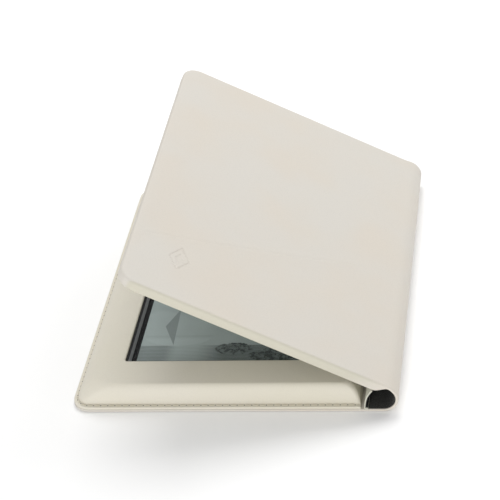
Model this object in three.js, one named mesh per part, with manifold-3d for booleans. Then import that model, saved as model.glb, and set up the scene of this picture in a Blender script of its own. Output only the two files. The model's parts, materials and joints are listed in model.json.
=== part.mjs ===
// E-reader in a leather folio. Millimetres, +Z up.
// The origin is the middle of the folio's underside: X runs from the free edge to the spine,
// Y along the spine, and Z up from the surface that the folio lies on.
import * as THREE from 'three';
import { mergeVertices } from 'three/addons/utils/BufferGeometryUtils.js';
import Module from 'manifold-3d';

const wasm = await Module();
wasm.setup();

// ---------------------------------------------------------------- driving dimensions

const BASE_WIDTH = 140;            // free edge to spine fold
const BASE_LENGTH = 190;           // along the spine
const CORNER_RADIUS = 9;           // both panels, at the free edge
const LEATHER = 1.2;               // outer leather
const COVER_ANGLE = 29.5;          // degrees that the cover stands open at rest
const COVER_LENGTH = 135.5;        // fold line to free edge
const COVER_THICKNESS = 5.2;
const FLEX_LENGTH = 7;             // unpadded leather between the cover's fold line and its board
const SPINE_RADIUS = 7.4;          // outer radius of the rolled spine
const SPINE_FLAT = 10;             // flat underside of the spine, before its roll
const SPINE_END_ANGLE = 52;        // degrees up the roll at which the spine meets the cover
const PLATEAU_TOP = 13;            // top of the leather frame round the screen
const READER = { width: 120, length: 169, thickness: 9, x: 2.5, y: 0.7, z: 2.8, corner: 9 };
const SCREEN = { width: 90.6, length: 122.4, fromTop: 14.5 };
const SCREEN_MARGIN = 3;           // bezel that shows between the leather frame and the screen

const GAP = 0.05;                  // between layers that lie on each other
const RUNNING_GAP = 0.3;           // round pieces that move, and between layers of the cover

// ---------------------------------------------------------------- values that follow from them

const edge = { x: BASE_WIDTH / 2, y: BASE_LENGTH / 2 };
const spine = {
  x: edge.x + SPINE_FLAT,
  z: SPINE_RADIUS,
};
const coverFold = { x: 84.5, z: 13.9 };
const reader = {
  x0: READER.x - READER.width / 2,
  x1: READER.x + READER.width / 2,
  y0: READER.y - READER.length / 2,
  y1: READER.y + READER.length / 2,
  z0: READER.z,
  z1: READER.z + READER.thickness,
};
const screen = {
  x0: READER.x - SCREEN.width / 2,
  x1: READER.x + SCREEN.width / 2,
  y0: reader.y0 + SCREEN.fromTop,
  y1: reader.y0 + SCREEN.fromTop + SCREEN.length,
};
const homeButton = { x: READER.x, y: (screen.y1 + reader.y1) / 2, width: 15, length: 7 };
const powerButton = { x: READER.x - 24, z: 6.5, width: 9, height: 1.6 };
const usb = { x: READER.x, z: 6.45, width: 7.6, height: 2 };
const light = { x: READER.x + 14, z: 6.5, radius: 0.8 };

// heights inside the reader
const level = {
  floor: reader.z0 + 1.4,
  board: reader.z0 + 1.6,
  boardTop: reader.z0 + 2.6,
  chassis: reader.z0 + 4.8,
  chassisTop: reader.z0 + 5.8,
  panel: reader.z0 + 5.9,
  panelTop: reader.z0 + 7.1,
  sheetTop: reader.z0 + 7.3,
  bezel: reader.z0 + 7.5,
};

// ---------------------------------------------------------------- materials

const material = (color, roughness, metalness = 0) =>
  new THREE.MeshStandardMaterial({ color, roughness, metalness });

const creamLeather = material(0xdcd7ca, 0.55);
const liningLeather = material(0xd2ccb9, 0.6);
const blackCloth = material(0x1c1c1a, 0.95);
const greyBoard = material(0x8f8a80, 0.9);
const foam = material(0xe8e4da, 0.95);
const thread = material(0xe6e0cc, 0.8);
const graphite = material(0x2a2b2d, 0.45);
const rearPlastic = material(0x232426, 0.6);
const screenGrey = material(0x8b9697, 0.5);
const clearFilm = material(0xa8b0b0, 0.35);
const boardGreen = material(0x1f5a3c, 0.5);
const chipBlack = material(0x17181a, 0.5);
const tinned = material(0xb9bcbe, 0.35, 0.9);
const chassisMetal = material(0x9ea2a4, 0.4, 0.8);
const batteryFoil = material(0xc2c4c4, 0.4, 0.5);
const amberFlex = material(0xb5762a, 0.5);
const whitePlastic = material(0xe4e4e0, 0.5);

// ---------------------------------------------------------------- shapes and booleans

/** A closed mesh as a solid that can be cut and joined. */
function solid(geometry) {
  const bare = geometry.clone();
  bare.deleteAttribute('normal');
  bare.deleteAttribute('uv');
  const merged = mergeVertices(bare, 1e-4);
  return new wasm.Manifold(new wasm.Mesh({
    numProp: 3,
    vertProperties: new Float32Array(merged.attributes.position.array),
    triVerts: new Uint32Array(merged.index.array),
  }));
}

/** The geometry of a cut or joined solid. */
function geometryOf(body) {
  const { vertProperties, triVerts } = body.getMesh();
  const geometry = new THREE.BufferGeometry();
  geometry.setAttribute('position', new THREE.BufferAttribute(new Float32Array(vertProperties), 3));
  geometry.setIndex(new THREE.BufferAttribute(new Uint32Array(triVerts), 1));
  geometry.computeVertexNormals();
  return geometry;
}

/** A rectangle with one radius at its low-X corners and another at its high-X corners. */
function roundedRect(x0, y0, x1, y1, low, high = low) {
  const shape = new THREE.Shape();
  shape.moveTo(x0 + low, y0);
  shape.lineTo(x1 - high, y0);
  if (high > 0) shape.absarc(x1 - high, y0 + high, high, -Math.PI / 2, 0, false);
  shape.lineTo(x1, y1 - high);
  if (high > 0) shape.absarc(x1 - high, y1 - high, high, 0, Math.PI / 2, false);
  shape.lineTo(x0 + low, y1);
  if (low > 0) shape.absarc(x0 + low, y1 - low, low, Math.PI / 2, Math.PI, false);
  shape.lineTo(x0, y0 + low);
  if (low > 0) shape.absarc(x0 + low, y0 + low, low, Math.PI, Math.PI * 1.5, false);
  return shape;
}

/** An outline drawn in X and Y, raised from z0 to z1. */
function plate(shape, z0, z1, curveSegments = 6) {
  const geometry = new THREE.ExtrudeGeometry(shape, { depth: z1 - z0, bevelEnabled: false, curveSegments });
  return solid(geometry.translate(0, 0, z0));
}

/** A plate whose lower and upper rims are rounded by the given radius. */
function softPlate(shape, z0, z1, radius) {
  const geometry = new THREE.ExtrudeGeometry(shape, {
    depth: z1 - z0 - 2 * radius,
    bevelEnabled: true,
    bevelThickness: radius,
    bevelSize: radius,
    bevelOffset: -radius,
    bevelSegments: 2,
    curveSegments: 6,
  });
  return solid(geometry.translate(0, 0, z0 + radius));
}

/** A section drawn in X and Z, run along Y. */
function alongY(section, y0, y1, curveSegments = 8) {
  const geometry = new THREE.ExtrudeGeometry(section, { depth: y1 - y0, bevelEnabled: false, curveSegments });
  return solid(geometry.rotateX(Math.PI / 2).translate(0, y1, 0));
}

/** A section drawn in Y and Z, run along X. */
function alongX(section, x0, x1, curveSegments = 8) {
  const geometry = new THREE.ExtrudeGeometry(section, { depth: x1 - x0, bevelEnabled: false, curveSegments });
  geometry.applyMatrix4(new THREE.Matrix4().set(0, 0, 1, x0, 1, 0, 0, 0, 0, 1, 0, 0, 0, 0, 0, 1));
  return solid(geometry);
}

/** A box between two corners. */
function block(x0, y0, z0, x1, y1, z1) {
  const geometry = new THREE.BoxGeometry(x1 - x0, y1 - y0, z1 - z0);
  return solid(geometry.translate((x0 + x1) / 2, (y0 + y1) / 2, (z0 + z1) / 2));
}

/** A box standing on z0, centred on a point. */
function chip(x, y, z0, width, length, height) {
  return block(x - width / 2, y - length / 2, z0, x + width / 2, y + length / 2, z0 + height);
}

/** An upright round post. */
function post(x, y, z0, z1, radius) {
  const geometry = new THREE.CylinderGeometry(radius, radius, z1 - z0, 14);
  return solid(geometry.rotateX(Math.PI / 2).translate(x, y, (z0 + z1) / 2));
}

const assembly = new THREE.Group();

/** Adds a piece to a group under its own name. */
function piece(name, body, finish, group = assembly) {
  const mesh = new THREE.Mesh(geometryOf(body), finish);
  mesh.name = name;
  group.add(mesh);
}

// ---------------------------------------------------------------- folio: base panel and frame

const FLANGE = { z0: LEATHER + GAP, z1: 2.6 };
const FOOT_INSET = 3.2;            // free edge to the foot of the frame's slope
const SLOPE = { free: 11, ends: 8, spine: 6 };
const SPINE_FOOT = edge.x - 0.7;   // foot of the slope on the spine side
const FRAME_LEATHER = 1.05;

/** A low mound with a quarter-round slope on each side, smaller by inset all round. */
function mound(inset, top) {
  const low = FLANGE.z0;
  const x0 = -edge.x + FOOT_INSET + inset;
  const x1 = SPINE_FOOT - inset;
  const y = edge.y - FOOT_INSET - inset;
  const rise = top - FLANGE.z1;
  const slopedSection = (a, b, widthA, widthB) => {
    const section = new THREE.Shape();
    section.moveTo(a, low);
    section.lineTo(b, low);
    section.lineTo(b, FLANGE.z1);
    section.absellipse(b - widthB, FLANGE.z1, widthB, rise, 0, Math.PI / 2, false, 0);
    section.lineTo(a + widthA, top);
    section.absellipse(a + widthA, FLANGE.z1, widthA, rise, Math.PI / 2, Math.PI, false, 0);
    section.lineTo(a, low);
    return section;
  };
  const across = alongY(slopedSection(x0, x1, SLOPE.free, SLOPE.spine), -y, y, 5);
  const along = alongX(slopedSection(-y, y, SLOPE.ends, SLOPE.ends), x0, x1, 5);
  const corners = plate(roundedRect(x0, -y, x1, y, CORNER_RADIUS - 2, 1), low, top);
  return across.intersect(along).intersect(corners);
}

function addBase() {
  const outline = (inset, z0, z1) => plate(
    roundedRect(-edge.x + inset, -edge.y + inset, edge.x - 0.4 - inset / 4, edge.y - inset,
      CORNER_RADIUS - inset, 0), z0, z1);

  piece('base_outer_leather', outline(0, 0, LEATHER), creamLeather);

  const boardInset = FOOT_INSET + FRAME_LEATHER + 0.4;
  const boardOutline = (inset) => roundedRect(-edge.x + inset, -edge.y + inset, SPINE_FOOT - FRAME_LEATHER - 0.4,
    edge.y - inset, CORNER_RADIUS - 2, 1);
  piece('base_board', plate(boardOutline(boardInset), FLANGE.z0, FLANGE.z0 + 1), greyBoard);
  piece('base_lining', plate(boardOutline(boardInset + 0.5), 2.3, 2.7), blackCloth);

  const window = plate(roundedRect(screen.x0 - SCREEN_MARGIN, screen.y0 - SCREEN_MARGIN,
    screen.x1 + SCREEN_MARGIN, screen.y1 + SCREEN_MARGIN, 1.5), 5, 20, 3);
  const buttonHole = plate(roundedRect(homeButton.x - 11, homeButton.y - 7, homeButton.x + 11,
    homeButton.y + 7, 6), 5, 20, 4);
  const channel = 0.4;
  const pocket = plate(roundedRect(reader.x0 - channel, reader.y0 - channel, reader.x1 + channel, 110,
    READER.corner), FLANGE.z1 + GAP, PLATEAU_TOP - FRAME_LEATHER);
  const skin = outline(0.2, FLANGE.z0, FLANGE.z1)
    .add(mound(0, PLATEAU_TOP))
    .subtract(mound(FRAME_LEATHER, PLATEAU_TOP - FRAME_LEATHER))
    .subtract(window)
    .subtract(buttonHole)
    .subtract(pocket);
  piece('holder_frame_leather', skin, creamLeather);

  const padding = mound(FRAME_LEATHER + RUNNING_GAP, PLATEAU_TOP - FRAME_LEATHER - RUNNING_GAP)
    .subtract(block(-80, -100, 0, 80, 100, 2.85))
    .subtract(pocket);
  piece('holder_padding', padding, foam);

  const seamLine = (inset) => roundedRect(-edge.x + inset, -edge.y + inset, edge.x, edge.y - inset,
    CORNER_RADIUS - inset, 0);
  // The seam starts by the spine, goes round the near and free edges, and ends at the mouth in the far end.
  const seam = plate(seamLine(1.85), FLANGE.z1 + GAP, 3)
    .subtract(plate(seamLine(2.55), 0, 5))
    .subtract(block(edge.x - 2.5, -100, 0, 80, 100, 5))
    .subtract(block(reader.x0 - 0.8, 0, 0, 80, 100, 5));
  piece('base_seam_thread', seam, thread);
}

// ---------------------------------------------------------------- folio: spine

/** The section of a layer of the spine: a flat underside and the roll that follows it. */
function spineLayer(start, outer, thickness, endAngle) {
  const section = new THREE.Shape();
  const end = THREE.MathUtils.degToRad(endAngle);
  const lowest = SPINE_RADIUS - outer;
  section.moveTo(start, lowest);
  section.lineTo(spine.x, lowest);
  section.absarc(spine.x, spine.z, outer, -Math.PI / 2, end, false);
  section.absarc(spine.x, spine.z, outer - thickness, end, -Math.PI / 2, true);
  section.lineTo(start, lowest + thickness);
  return section;
}

function addSpine() {
  const leather = 1.3;
  piece('spine_outer_leather', alongY(spineLayer(edge.x + GAP, SPINE_RADIUS, leather, SPINE_END_ANGLE),
    -edge.y, edge.y), creamLeather);
  piece('spine_backing_cloth', alongY(spineLayer(edge.x + 1, SPINE_RADIUS - leather - GAP, 0.4,
    SPINE_END_ANGLE - 4), -edge.y + 0.5, edge.y - 0.5), blackCloth);

  const gusset = new THREE.Shape();
  gusset.moveTo(71.2, 2.2);
  gusset.quadraticCurveTo(71.6, 8.2, 75.1, 12.2);
  gusset.lineTo(75.7, 11.6);
  gusset.quadraticCurveTo(72.6, 8, 72.1, 2.2);
  piece('spine_gusset_leather', alongY(gusset, -edge.y, edge.y, 6), liningLeather);
}

// ---------------------------------------------------------------- folio: cover

function addCover() {
  // The cover lies in its own turned group: X runs to the fold line and Z is its outer face.
  const cover = new THREE.Group();
  cover.position.set(coverFold.x, 0, coverFold.z);
  cover.rotation.y = THREE.MathUtils.degToRad(COVER_ANGLE);
  assembly.add(cover);

  const outline = (inset, x1) => roundedRect(-COVER_LENGTH + inset, -edge.y + inset, x1, edge.y - inset,
    CORNER_RADIUS - inset, 0);
  const under = -COVER_THICKNESS;
  const wall = LEATHER;
  const hollow = plate(outline(wall, -FLEX_LENGTH + 1), under - 1, -LEATHER)
    .add(block(-FLEX_LENGTH, -100, under - 1, 10, 100, -LEATHER));
  piece('cover_outer_leather', plate(outline(0, 0), under, 0).subtract(hollow), creamLeather, cover);

  const inset = wall + RUNNING_GAP;
  const layer = (z0, z1) => plate(outline(inset, -FLEX_LENGTH), z0, z1);
  const foamTop = -LEATHER - RUNNING_GAP;
  const boardTop = foamTop - 1 - RUNNING_GAP;
  const liningTop = boardTop - 1.3 - RUNNING_GAP;
  piece('cover_foam', layer(foamTop - 1, foamTop), foam, cover);
  piece('cover_board', layer(boardTop - 1.3, boardTop), greyBoard, cover);
  piece('cover_lining_leather', layer(under, liningTop), liningLeather, cover);
}

// ---------------------------------------------------------------- reader: case

const WALL = 1.5;
const casePosts = [[-52, -77.5], [52, -77.5], [-52, 77.5], [52, 77.5]];
const boardPosts = [[-44, 20], [44, 20], [-44, 66], [44, 66]];
const at = ([dx, dy]) => [READER.x + dx, READER.y + dy];

function readerOutline(inset) {
  return roundedRect(reader.x0 + inset, reader.y0 + inset, reader.x1 - inset, reader.y1 - inset,
    READER.corner - inset);
}

/** A block whose four sides spread outwards by the given amount towards its top. */
function flaredBlock(x0, y0, x1, y1, z0, z1, spread) {
  const section = (a, b) => {
    const shape = new THREE.Shape();
    shape.moveTo(a, z0);
    shape.lineTo(b, z0);
    shape.lineTo(b + spread, z1);
    shape.lineTo(a - spread, z1);
    return shape;
  };
  return alongY(section(x0, x1), y0 - spread, y1 + spread).intersect(
    alongX(section(y0, y1), x0 - spread, x1 + spread));
}

/** The rear cover with its screw posts, the front bezel, the chassis between them and the case screws. */
function addCase() {
  let rear = softPlate(readerOutline(0), reader.z0, reader.z1, 2.4)
    .subtract(block(-80, -100, level.bezel - 0.1, 80, 100, 20))
    .subtract(plate(readerOutline(WALL), level.floor, 20));
  for (const spot of casePosts) {
    const [x, y] = at(spot);
    rear = rear.add(post(x, y, level.floor - 0.5, level.chassis - GAP, 2.6))
      .subtract(post(x, y, level.floor + 0.6, 20, 1.1));
  }
  for (const spot of boardPosts) {
    const [x, y] = at(spot);
    rear = rear.subtract(post(x, y, level.floor - 0.9, level.floor + 1, 0.9));
  }
  rear = rear
    .subtract(block(usb.x - 4.1, reader.y1 - 4, usb.z - 1.3, usb.x + 4.1, 100, usb.z + 1.3))
    .subtract(block(powerButton.x - 4.8, reader.y1 - 4, powerButton.z - 1.1, powerButton.x + 4.8, 100,
      powerButton.z + 1.1))
    .subtract(block(light.x - 1.1, reader.y1 - 4, light.z - 1.1, light.x + 1.1, 100, light.z + 1.1));
  piece('reader_rear_cover', rear, rearPlastic);

  const bezel = softPlate(readerOutline(0), reader.z1 - 6, reader.z1, 1)
    .subtract(block(-80, -100, 0, 80, 100, level.bezel))
    .subtract(flaredBlock(screen.x0, screen.y0, screen.x1, screen.y1, level.bezel - 0.01, reader.z1 + 0.01, 1.9))
    .subtract(plate(roundedRect(homeButton.x - 7.8, homeButton.y - 3.8, homeButton.x + 7.8,
      homeButton.y + 3.8, 3.4), 5, 20));
  piece('reader_front_bezel', bezel, graphite);

  let chassis = plate(readerOutline(WALL + 0.4), level.chassis, level.chassisTop)
    .subtract(block(READER.x - 17, screen.y1 + 6.2, 0, READER.x + 17, screen.y1 + 9, 20));
  for (const spot of casePosts) {
    const [x, y] = at(spot);
    chassis = chassis.subtract(post(x, y, 0, 20, 1.1));
  }
  piece('reader_chassis', chassis, chassisMetal);

  casePosts.forEach((spot, index) => {
    const [x, y] = at(spot);
    const screw = post(x, y, level.chassisTop + GAP, level.chassisTop + 0.9, 1.9)
      .add(post(x, y, level.floor + 1, level.chassisTop + 0.4, 0.8))
      .subtract(block(x - 1.3, y - 0.25, level.chassisTop + 0.6, x + 1.3, y + 0.25, 20))
      .subtract(block(x - 0.25, y - 1.3, level.chassisTop + 0.6, x + 0.25, y + 1.3, 20));
    piece(`case_screw_${index + 1}`, screw, tinned);
  });
}

// ---------------------------------------------------------------- reader: display

function addDisplay() {
  const border = { side: 3.4, top: 3.6, bottom: 5.6 };
  const panel = plate(roundedRect(screen.x0 - border.side, screen.y0 - border.top, screen.x1 + border.side,
    screen.y1 + border.bottom, 0.8), level.panel, level.panelTop, 2);
  piece('display_panel', panel, screenGrey);

  const sheetOutline = (grow) => roundedRect(screen.x0 - grow, screen.y0 - grow, screen.x1 + grow,
    screen.y1 + grow, 0.8);
  piece('display_front_sheet', plate(sheetOutline(1.2), level.panelTop + GAP, level.sheetTop, 2), clearFilm);
  const gasket = plate(sheetOutline(3), level.panelTop + GAP, level.bezel - GAP, 2)
    .subtract(plate(sheetOutline(1.4), 0, 20, 2));
  piece('display_gasket', gasket, blackCloth);

  // The flat cable leaves the panel's far edge and folds under through the chassis slot to the main board.
  const start = screen.y1 + border.bottom;
  const bend = start + 2.1;
  const upper = level.panel + 0.35;
  const lower = level.boardTop + 1.3;
  const flex = new THREE.Shape();
  flex.moveTo(start + 0.1, upper);
  flex.lineTo(bend, upper);
  flex.lineTo(bend, lower);
  flex.lineTo(bend - 6, lower);
  flex.lineTo(bend - 6, lower - 0.3);
  flex.lineTo(bend + 0.3, lower - 0.3);
  flex.lineTo(bend + 0.3, upper + 0.3);
  flex.lineTo(start + 0.1, upper + 0.3);
  piece('display_flex', alongX(flex, READER.x - 15, READER.x + 15), amberFlex);
  piece('display_connector', chip(READER.x, bend - 4, level.boardTop + GAP, 32, 3.6, 0.85), chipBlack);
}

// ---------------------------------------------------------------- reader: electronics

function addElectronics() {
  const boardY = { low: READER.y + 12, high: reader.y1 - 4.6 };
  let board = plate(roundedRect(READER.x - 50, boardY.low, READER.x + 50, boardY.high, 1.5), level.board,
    level.boardTop, 2);
  for (const spot of boardPosts) {
    const [x, y] = at(spot);
    board = board.subtract(post(x, y, 0, 20, 0.9));
  }
  for (const spot of casePosts) {
    const [x, y] = at(spot);
    board = board.subtract(post(x, y, 0, 20, 3.2));
  }
  piece('main_board', board, boardGreen);
  boardPosts.forEach((spot, index) => {
    const [x, y] = at(spot);
    const screw = post(x, y, level.boardTop + GAP, level.boardTop + 0.7, 1.6)
      .add(post(x, y, level.floor - 0.7, level.boardTop + 0.3, 0.6));
    piece(`board_screw_${index + 1}`, screw, tinned);
  });

  const top = level.boardTop + GAP;
  const processor = at([-18, 34]);
  piece('processor_chip', chip(...processor, top, 14, 14, 0.9), chipBlack);
  const shield = chip(...processor, top, 26, 24, 1.5).subtract(chip(...processor, top - 1, 25.2, 23.2, 2.2));
  piece('processor_shield', shield, tinned);
  piece('memory_chip', chip(...at([8, 34]), top, 12, 10, 0.9), chipBlack);
  piece('wifi_module', chip(...at([30, 32]), top, 14, 12, 1.4), tinned);
  piece('wifi_antenna', chip(...at([46, 40]), top, 3, 16, 0.6), amberFlex);

  const battery = { x: READER.x, y: reader.y0 + 50, width: 76, length: 78 };
  piece('battery_pack', softPlate(roundedRect(battery.x - battery.width / 2, battery.y - battery.length / 2,
    battery.x + battery.width / 2, battery.y + battery.length / 2, 2), level.floor + 0.1, level.chassis - 0.2,
  0.8), batteryFoil);
  const lead = { x: READER.x - 32, y0: battery.y + battery.length / 2 + 0.2, y1: boardY.low + 4 };
  piece('battery_lead', block(lead.x - 4, lead.y0, top, lead.x + 4, lead.y1 - 3.2, top + 1), blackCloth);
  piece('battery_connector', chip(lead.x, lead.y1 - 1, top, 10, 4, 1.4), whitePlastic);

  const portY = reader.y1 - 0.6;
  const port = block(usb.x - usb.width / 2, portY - 5.4, top, usb.x + usb.width / 2, portY, top + usb.height)
    .subtract(block(usb.x - usb.width / 2 + 0.4, portY - 4.4, top + 0.4, usb.x + usb.width / 2 - 0.4, 100,
      top + usb.height - 0.4));
  const tongue = block(usb.x - 2.6, portY - 4.6, top + 0.8, usb.x + 2.6, portY - 0.9, top + 1.2);
  piece('usb_connector', port.add(tongue), tinned);

  const lightEnd = reader.y1 - 0.2;
  const pipe = new THREE.CylinderGeometry(light.radius, light.radius, 2.6, 14)
    .translate(light.x, lightEnd - 1.3, light.z);
  piece('indicator_light_pipe', solid(pipe), whitePlastic);
  piece('indicator_led', chip(light.x, reader.y1 - 6, top, 2, 1.6, 1.2), whitePlastic);
}

// ---------------------------------------------------------------- reader: buttons

function addButtons() {
  const home = plate(roundedRect(homeButton.x - homeButton.width / 2, homeButton.y - homeButton.length / 2,
    homeButton.x + homeButton.width / 2, homeButton.y + homeButton.length / 2, 3.1),
  level.bezel - 0.4, reader.z1 - 0.05)
    .add(plate(roundedRect(homeButton.x - 9, homeButton.y - 5, homeButton.x + 9, homeButton.y + 5, 4),
      level.bezel - 0.4, level.bezel - 0.1))
    .add(post(homeButton.x, homeButton.y, level.chassisTop + 1.4, level.bezel, 1.4));
  piece('home_button', home, graphite);
  piece('home_switch_board', chip(homeButton.x, homeButton.y, level.chassisTop + GAP, 24, 9, 0.35), boardGreen);
  piece('home_dome_switch', post(homeButton.x, homeButton.y, level.chassisTop + 0.45, level.chassisTop + 0.8,
    2.6), tinned);

  const face = reader.y1 + 0.5;
  const half = powerButton.height / 2;
  const power = block(powerButton.x - powerButton.width / 2, reader.y1 - 1.9, powerButton.z - half,
    powerButton.x + powerButton.width / 2, face, powerButton.z + half)
    .add(block(powerButton.x - 6, reader.y1 - 2.4, powerButton.z - half, powerButton.x + 6,
      reader.y1 - WALL - 0.3, powerButton.z + half));
  piece('power_button', power, graphite);
  piece('power_switch', block(powerButton.x - 3.5, reader.y1 - 7.4, level.boardTop + GAP,
    powerButton.x + 3.5, reader.y1 - 4.8, level.boardTop + 1.9).add(
    block(powerButton.x - 1.2, reader.y1 - 5, level.boardTop + 0.7, powerButton.x + 1.2, reader.y1 - 2.95,
      level.boardTop + 1.5)), tinned);
}

addBase();
addSpine();
addCover();
addCase();
addDisplay();
addElectronics();
addButtons();

export default assembly;
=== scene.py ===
"""An e-reader in a cream leather folio: its visible surfaces, finishes, light and camera.

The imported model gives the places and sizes. Each sub-assembly below is a class that models its
own pieces with bmesh, dresses them in procedural finishes and sets them on the body they move with.
All lengths in the script are millimetres until a mesh is finished, when it is scaled to metres.
"""

from __future__ import annotations

import json
import logging
import math
from abc import ABC, abstractmethod
from bisect import bisect_right
from dataclasses import dataclass, field, replace
from enum import Enum
from typing import Any, Callable, Iterable, Mapping, Sequence

import bmesh
import bpy
from mathutils import Matrix, Vector
from mathutils.geometry import interpolate_bezier

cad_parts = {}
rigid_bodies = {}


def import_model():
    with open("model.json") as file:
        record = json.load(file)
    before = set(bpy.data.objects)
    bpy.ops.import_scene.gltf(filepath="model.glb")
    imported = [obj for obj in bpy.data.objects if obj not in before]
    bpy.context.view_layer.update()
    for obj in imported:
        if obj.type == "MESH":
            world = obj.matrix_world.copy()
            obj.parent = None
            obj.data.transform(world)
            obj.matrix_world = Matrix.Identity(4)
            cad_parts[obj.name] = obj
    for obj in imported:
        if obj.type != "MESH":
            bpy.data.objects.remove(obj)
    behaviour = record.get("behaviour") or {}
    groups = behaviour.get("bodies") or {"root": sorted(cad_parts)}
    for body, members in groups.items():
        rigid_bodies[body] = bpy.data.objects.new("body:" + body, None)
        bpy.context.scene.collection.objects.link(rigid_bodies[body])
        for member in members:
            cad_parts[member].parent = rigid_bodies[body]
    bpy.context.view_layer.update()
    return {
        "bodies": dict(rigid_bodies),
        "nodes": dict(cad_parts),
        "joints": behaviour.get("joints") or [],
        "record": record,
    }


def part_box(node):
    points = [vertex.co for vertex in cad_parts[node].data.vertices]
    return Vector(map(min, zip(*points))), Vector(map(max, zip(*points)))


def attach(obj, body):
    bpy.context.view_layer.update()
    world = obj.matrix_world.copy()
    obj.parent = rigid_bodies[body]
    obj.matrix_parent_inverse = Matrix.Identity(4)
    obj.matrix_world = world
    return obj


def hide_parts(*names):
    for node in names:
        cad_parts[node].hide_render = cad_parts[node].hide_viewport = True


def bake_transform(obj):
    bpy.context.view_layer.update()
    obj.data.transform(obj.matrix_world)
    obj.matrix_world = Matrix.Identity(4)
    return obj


log = logging.getLogger("folio")

MM = 0.001  # a millimetre, in the metres that finished pieces have
ARC_STEPS = 10  # spans in each rounded corner of a ring
ARC_DEGREES = 1.5  # spans of an arc in a drawn line
SHARP_ANGLE = math.radians(38)  # edges that turn more than this are shaded sharp

CORNER = 9.0  # radius of the corners of folio and reader, seen from above
OUTER_SKIN = 1.25  # thickness of the outer leather
OUTER_SPLIT = 76.0  # where the base's leather meets the spine's, under the roll
SEAM_INSET = 1.8  # from the base's edge to the line of stitches


class Body(Enum):
    """The bodies that pieces ride on."""

    BASE = "folio_base"
    SPINE = "folio_spine"
    COVER = "folio_cover"
    READER = "reader"
    HOME = "home_button"
    POWER = "power_button"


class Slot(Enum):
    """The record's material slots that new pieces take their finish from."""

    OUTER_LEATHER = "outer_leather"
    FRAME_LEATHER = "frame_leather"
    LINING_LEATHER = "lining_leather"
    BACKING = "backing_cloth"
    FOAM = "foam"
    THREAD = "thread"
    BEZEL = "bezel_plastic"
    REAR = "rear_plastic"


# ---------------------------------------------------------------- shader graphs


@dataclass(frozen=True)
class Socket:
    """A value in a shader graph that can be used in ordinary arithmetic."""

    graph: "Graph"
    source: bpy.types.NodeSocket

    def _math(self, operation: str, *values: "Socket | float") -> "Socket":
        """Adds a Math node that takes these values in order."""
        inputs = dict(enumerate(values))
        return self.graph.node("ShaderNodeMath", {"operation": operation}, inputs)["Value"]

    def __add__(self, other: "Socket | float") -> "Socket":
        """self + other"""
        return self._math("ADD", self, other)

    def __radd__(self, other: float) -> "Socket":
        """other + self"""
        return self._math("ADD", other, self)

    def __sub__(self, other: "Socket | float") -> "Socket":
        """self - other"""
        return self._math("SUBTRACT", self, other)

    def __rsub__(self, other: float) -> "Socket":
        """other - self"""
        return self._math("SUBTRACT", other, self)

    def __mul__(self, other: "Socket | float") -> "Socket":
        """self * other"""
        return self._math("MULTIPLY", self, other)

    def __rmul__(self, other: float) -> "Socket":
        """other * self"""
        return self._math("MULTIPLY", other, self)

    def __truediv__(self, other: "Socket | float") -> "Socket":
        """self / other"""
        return self._math("DIVIDE", self, other)

    def at_least(self, other: "Socket | float") -> "Socket":
        """The larger of the two values."""
        return self._math("MAXIMUM", self, other)

    def at_most(self, other: "Socket | float") -> "Socket":
        """The smaller of the two values."""
        return self._math("MINIMUM", self, other)

    def size(self) -> "Socket":
        """The value without its sign."""
        return self._math("ABSOLUTE", self)

    def wave(self) -> "Socket":
        """The sine of the value."""
        return self._math("SINE", self)

    def power(self, exponent: float) -> "Socket":
        """The value raised to a power."""
        return self._math("POWER", self, exponent)

    def step(self, low: float, high: float) -> "Socket":
        """A smooth step from 0 at low to 1 at high.

        Args:
            low: where the step starts.
            high: where it ends; below low, the step falls.

        Returns:
            The stepped value, from 0 to 1.
        """
        settings = {"interpolation_type": "SMOOTHSTEP", "clamp": True}
        inputs = {"Value": self, "From Min": low, "From Max": high}
        return self.graph.node("ShaderNodeMapRange", settings, inputs)["Result"]


class Outputs:
    """The outputs of one node, by name."""

    def __init__(self, graph: "Graph", made: bpy.types.Node) -> None:
        """Keeps the node and its graph."""
        self._graph = graph
        self._made = made

    def __getitem__(self, name: str) -> Socket:
        """The output of that name."""
        wanted = [out for out in self._made.outputs if out.name == name and out.enabled]
        return Socket(self._graph, wanted[0])


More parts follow.
